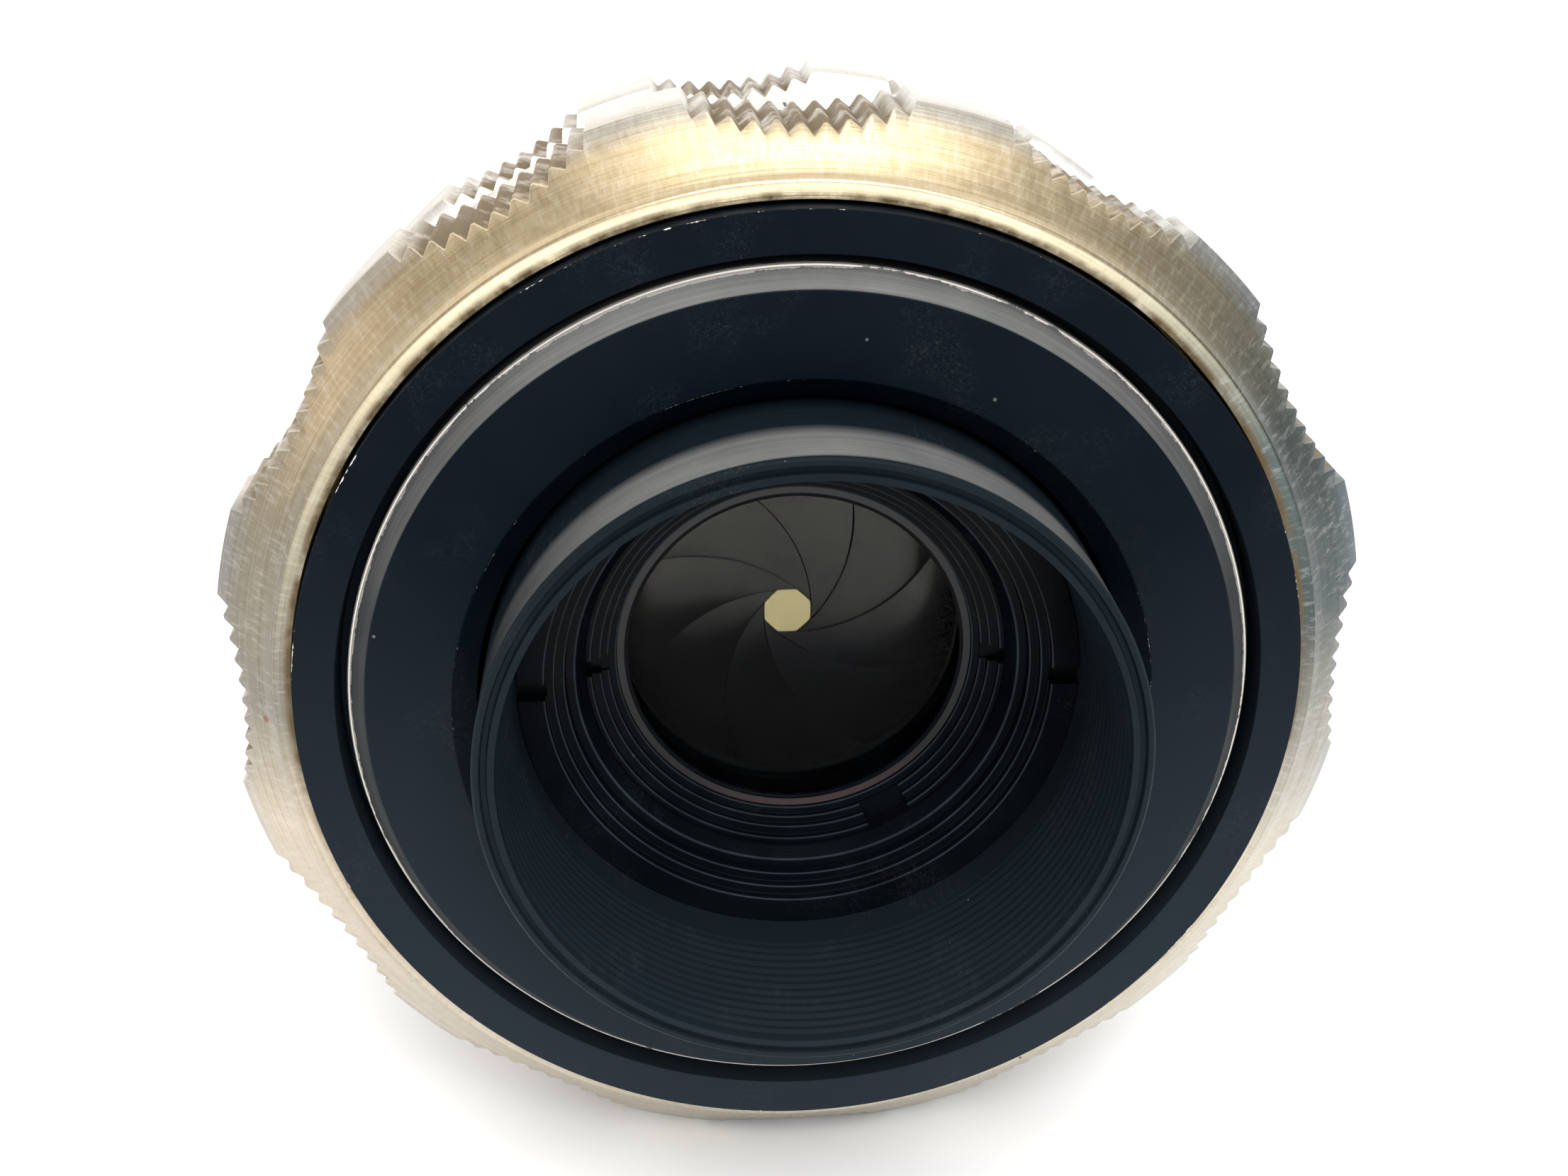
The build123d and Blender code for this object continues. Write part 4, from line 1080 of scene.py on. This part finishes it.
# %% Pieces repeated round the axis
def build_ring_of():
    tree = bpy.data.node_groups.new("ring_of", "GeometryNodeTree")
    tree.interface.new_socket("Geometry", in_out="INPUT", socket_type="NodeSocketGeometry")
    for label, kind in (("Count", "Int"), ("Start degrees", "Float"), ("Step degrees", "Float"),
                        ("Axis height", "Float"), ("Material", "Material")):
        tree.interface.new_socket(label, in_out="INPUT", socket_type=f"NodeSocket{kind}")
    tree.interface.new_socket("Geometry", in_out="OUTPUT", socket_type="NodeSocketGeometry")
    given, out = add(tree, "NodeGroupInput").outputs, add(tree, "NodeGroupOutput").inputs
    points = add(tree, "GeometryNodePoints")
    feed(tree, given["Count"], points.inputs["Count"])
    number = add(tree, "GeometryNodeInputIndex").outputs[0]
    angle = plus(tree, times(tree, number, given["Step degrees"]), given["Start degrees"])
    swing = combine(tree, Y=times(tree, maths(tree, "RADIANS", angle), -1.0))
    copies = add(tree, "GeometryNodeInstanceOnPoints")
    feed(tree, points.outputs[0], copies.inputs["Points"])
    feed(tree, given["Geometry"], copies.inputs["Instance"])
    feed(tree, swing, copies.inputs["Rotation"])
    shift = add(tree, "GeometryNodeTransform")
    feed(tree, copies.outputs[0], shift.inputs["Geometry"])
    feed(tree, combine(tree, Z=given["Axis height"]), shift.inputs["Translation"])
    real = add(tree, "GeometryNodeRealizeInstances")
    feed(tree, shift.outputs[0], real.inputs[0])
    coat = add(tree, "GeometryNodeSetMaterial")
    feed(tree, real.outputs[0], coat.inputs["Geometry"])
    feed(tree, given["Material"], coat.inputs["Material"])
    feed(tree, coat.outputs[0], out["Geometry"])
    return tree


ring_of = build_ring_of()


def ring_copies(piece, finish, count, start, step):
    """Repeat a piece drawn at angle 0, on the axis height 0, round the lens axis."""
    modifier = piece.modifiers.new("ring_of", "NODES")
    modifier.node_group = ring_of
    values = {"Count": count, "Start degrees": start, "Step degrees": step, "Axis height": AXIS_Z,
              "Material": FINISH[finish]}
    for item in ring_of.interface.items_tree:
        if item.in_out == "INPUT" and item.name in values:
            modifier[item.identifier] = values[item.name]
    flatten(piece)
    return piece


def grub_screw(name, radius, foot, top, y):
    """Slotted headless screw along +X: a chamfered, threaded rod with a slot across its end."""
    groove, depth = 0.3, 0.45
    profile = [(0.0, foot), (radius - 0.15, foot)]
    ridges = int((top - foot - 0.3) / 0.25)
    for ridge in range(ridges):
        at = foot + 0.1 + 0.25 * ridge
        profile += [(radius - 0.08, at), (radius, at + 0.12)]
    profile += [(radius, top - 0.15), (radius - 0.12, top), (0.0, top)]
    work = bmesh.new()
    sides = 40
    rows = []
    for side in range(sides):
        turn = 2 * math.pi * side / sides
        along, up = math.cos(turn), math.sin(turn)
        rows.append([work.verts.new((far * MM, FLANGE_Y + (y + r * along) * MM, r * up * MM))
                     for r, far in profile])
    for row, beside in zip(rows, rows[1:] + rows[:1]):
        for j in range(len(row) - 1):
            work.faces.new((row[j], row[j + 1], beside[j + 1], beside[j]))
    screw = finish_mesh(name, work, smooth_below=25)
    work = bmesh.new()
    add_box(work, (2 * depth, 4 * radius, groove), Matrix.Translation((top * MM, FLANGE_Y + y * MM, 0)))
    subtract(screw, work)
    return screw


def build_grub_screws():
    """Each set of screws is spaced evenly round its ring."""
    for name, shape, angles, body, node in (
            ("index_grub_screws", INDEX_SCREW, INDEX_SCREW_ANGLES, "head", "index_screws"),
            ("barrel_grub_screws", BARREL_SCREW, BARREL_SCREW_ANGLES, "head", "barrel_screws"),
            ("aperture_grub_screw", DRIVE_SCREW, [DRIVE_ANGLE], "aperture_ring", "aperture_drive_screw")):
        count = len(angles)
        screws = ring_copies(grub_screw(name, **shape), "steel", count, angles[0], 360 / count)
        dress(screws, body, "steel", node, slot="steel")


build_grub_screws()

# %% [markdown]
# Scales. Focused at a distance D from the film, a lens of focal length f stands f * f / (D - 2 * f)
# further forward than at infinity, and the ring turns in proportion. The stop scale comes from the
# blades: their inner edge leaves the axis by a chord of the swing. All figures are plain numbers.

# %% Numbers and ticks
FOCAL = 52.0
FOCUS_TURN, FOCUS_TRAVEL, APERTURE_TURN = 250.0, 4.0, 40.0
TOP = 90.0


def number_band(name, labels, radius, y, height, body):
    """Black numbers wrapped round a ring. labels is a list of (text, angle, quarter turns)."""
    work = bmesh.new()
    proud = 0.012
    for text, angle, quarters in labels:
        curve = bpy.data.curves.new("figure", "FONT")
        curve.body, curve.size, curve.extrude = text, height * 1.37, proud
        curve.align_x, curve.align_y = "CENTER", "CENTER"
        flat = new_object("figure", curve)
        bpy.context.view_layer.update()
        mesh = bpy.data.meshes.new_from_object(flat.evaluated_get(bpy.context.evaluated_depsgraph_get()))
        bpy.data.objects.remove(flat)
        figure = bmesh.new()
        figure.from_mesh(mesh)
        bmesh.ops.rotate(figure, verts=figure.verts, matrix=Matrix.Rotation(math.pi / 2 * quarters, 3, "Z"))
        reach_x = max(abs(v.co.x) for v in figure.verts)
        for cut in range(-int(reach_x / 0.35), int(reach_x / 0.35) + 1):
            everything = figure.verts[:] + figure.edges[:] + figure.faces[:]
            bmesh.ops.bisect_plane(figure, geom=everything, plane_co=(cut * 0.35, 0, 0), plane_no=(1, 0, 0))
        for vert in figure.verts:
            x, along, lift = vert.co
            vert.co = place(radius + lift, y + along, angle - math.degrees(x / radius))
        figure.to_mesh(mesh)
        figure.free()
        work.from_mesh(mesh)
    dress(finish_mesh(name, work), body, "black_paint", slot="black_anodised")


def tick(name, radius, y_rear, y_front, width):
    """One painted tick along the axis, drawn at angle 0."""
    work = bmesh.new()
    middle = Matrix.Translation((radius * MM, FLANGE_Y + (y_rear + y_front) / 2 * MM, 0))
    add_box(work, (0.03, y_front - y_rear, width), middle)
    return finish_mesh(name, work)


def ticks_at(name, angles, radius, y_rear, y_front, width, body, finish="black_paint"):
    """Ticks at uneven angles, merged into one piece."""
    parts = [ring_copies(tick(f"{name}_part", radius, y_rear, y_front, width), finish, 1, angle, 0)
             for angle in angles]
    work = bmesh.new()
    for part in parts:
        work.from_mesh(part.data)
        bpy.data.objects.remove(part)
    dress(finish_mesh(name, work), body, finish, slot="black_anodised")


def focus_angle(metres):
    return TOP + FOCUS_TURN / FOCUS_TRAVEL * FOCAL ** 2 / (metres * 1000 - 2 * FOCAL)


def stop_angle(stop):
    edge = OPEN_RADIUS * 2.8 / stop
    closed = 2 * math.asin((OPEN_RADIUS - edge) / (2 * PIVOT_RADIUS)) / BLADE_TURN
    return TOP + APERTURE_TURN * max(0.0, 1 - closed)


def build_scales():
    skirt, stop_step, index = 27.2, 26.0, 27.0
    distances = (0.8, 0.9, 1, 1.2, 1.5, 2, 3, 5, 10)
    labels = [(f"{metres:g}", focus_angle(metres), 0) for metres in distances] + [("8", TOP, 1)]
    number_band("distance_numbers", labels, skirt, 11.6, 1.9, "focus_ring")
    marked = [TOP] + [focus_angle(metres) for metres in distances]
    ticks_at("distance_ticks", marked, skirt, 13.3, 14.35, 0.16, "focus_ring")
    stops = (2.8, 4, 5.6, 8, 11, 22)
    labels = [(f"{stop:g}", stop_angle(stop), 0) for stop in stops]
    number_band("stop_numbers", labels, stop_step, 24.3, 1.45, "aperture_ring")
    marked = [stop_angle(stop) for stop in (2.8, 4, 5.6, 8, 11, 16, 22)]
    ticks_at("stop_ticks", marked, stop_step, 22.75, 23.2, 0.14, "aperture_ring")
    spread = FOCUS_TURN / FOCUS_TRAVEL * 0.03
    sides = [(stop, side) for stop in (4, 8, 16, 22) for side in (-1, 1)]
    labels = [(f"{stop}", TOP + side * spread * stop, 0) for stop, side in sides]
    number_band("depth_numbers", labels, index, 15.5, 0.75, "head")
    marked = [TOP + side * spread * stop for stop, side in sides]
    ticks_at("depth_ticks", marked, index, 14.7, 15.02, 0.12, "head")
    ticks_at("index_line", [TOP], index, 14.7, 15.25, 0.24, "head", "red_paint")
    print("distance marks at", [round(focus_angle(metres) - TOP, 1) for metres in distances], "degrees")
    print("stop marks at", [round(stop_angle(stop) - TOP, 1) for stop in stops], "degrees")


build_scales()

# %% [markdown]
# Light: a pale floor, a bright soft window wall in front of the lens, a calmer ceiling, and a dim
# room behind the camera, so that the faces turned to the camera stay deep black. The camera itself
# sees plain white past the floor.

# %% Floor and light
def build_floor():
    work = bmesh.new()
    bmesh.ops.create_circle(work, cap_ends=True, segments=96, radius=3.0)
    floor = finish_mesh("floor", work)
    material, tree, shader = new_material("floor_paper")
    patch = object_noise(tree, 6.0, 2.0, 0.5, 0.0)
    feed(tree, mix_colour(tree, patch, (0.88, 0.88, 0.88), (0.91, 0.91, 0.91)), shader.inputs["Base Color"])
    shader.inputs["Roughness"].default_value = 0.7
    floor.data.materials.append(material)


def area_light(name, where, towards, size, watts, colour):
    light = bpy.data.objects.new(name, bpy.data.lights.new(name, "AREA"))
    light.data.shape = "DISK"
    light.data.size = size
    light.data.energy = watts
    light.data.color = colour
    light.location = where
    light.rotation_euler = (Vector(towards) - Vector(where)).to_track_quat("-Z", "Y").to_euler()
    bpy.context.scene.collection.objects.link(light)


def build_world():
    world = bpy.data.worlds.new("studio")
    bpy.context.scene.world = world
    world.use_nodes = True
    tree = world.node_tree
    tree.nodes.clear()
    coordinate = add(tree, "ShaderNodeTexCoord")
    split = add(tree, "ShaderNodeSeparateXYZ")
    feed(tree, coordinate.outputs["Generated"], split.inputs[0])
    overhead = stretch(tree, split.outputs["Y"], -0.8, -0.25)
    colour = mix_colour(tree, overhead, (0.27, 0.275, 0.285), (0.38, 0.375, 0.365))
    in_front = stretch(tree, split.outputs["Y"], -0.15, 0.5)
    colour = mix_colour(tree, in_front, colour, (1.0, 1.0, 1.0))
    seen = add(tree, "ShaderNodeLightPath").outputs["Is Camera Ray"]
    colour = mix_colour(tree, seen, colour, (1.0, 1.0, 1.0))
    light = add(tree, "ShaderNodeBackground", Strength=2.0)
    feed(tree, colour, light.inputs["Color"])
    output = add(tree, "ShaderNodeOutputWorld")
    feed(tree, light.outputs[0], output.inputs["Surface"])


build_floor()
build_world()
area_light("window_above", (0.02, -0.15, 0.40), (0, 0, 0.03), 0.34, 0.8, (1.0, 0.985, 0.96))
area_light("fill_behind", (0.10, -0.5, 0.5), (0, 0, 0.02), 0.5, 3.0, (0.97, 0.985, 1.0))
area_light("warm_left", (-0.45, -0.15, 0.15), (0, 0, 0.03), 0.25, 0.25, (1.0, 0.86, 0.74))
bpy.context.scene.view_settings.view_transform = "Standard"
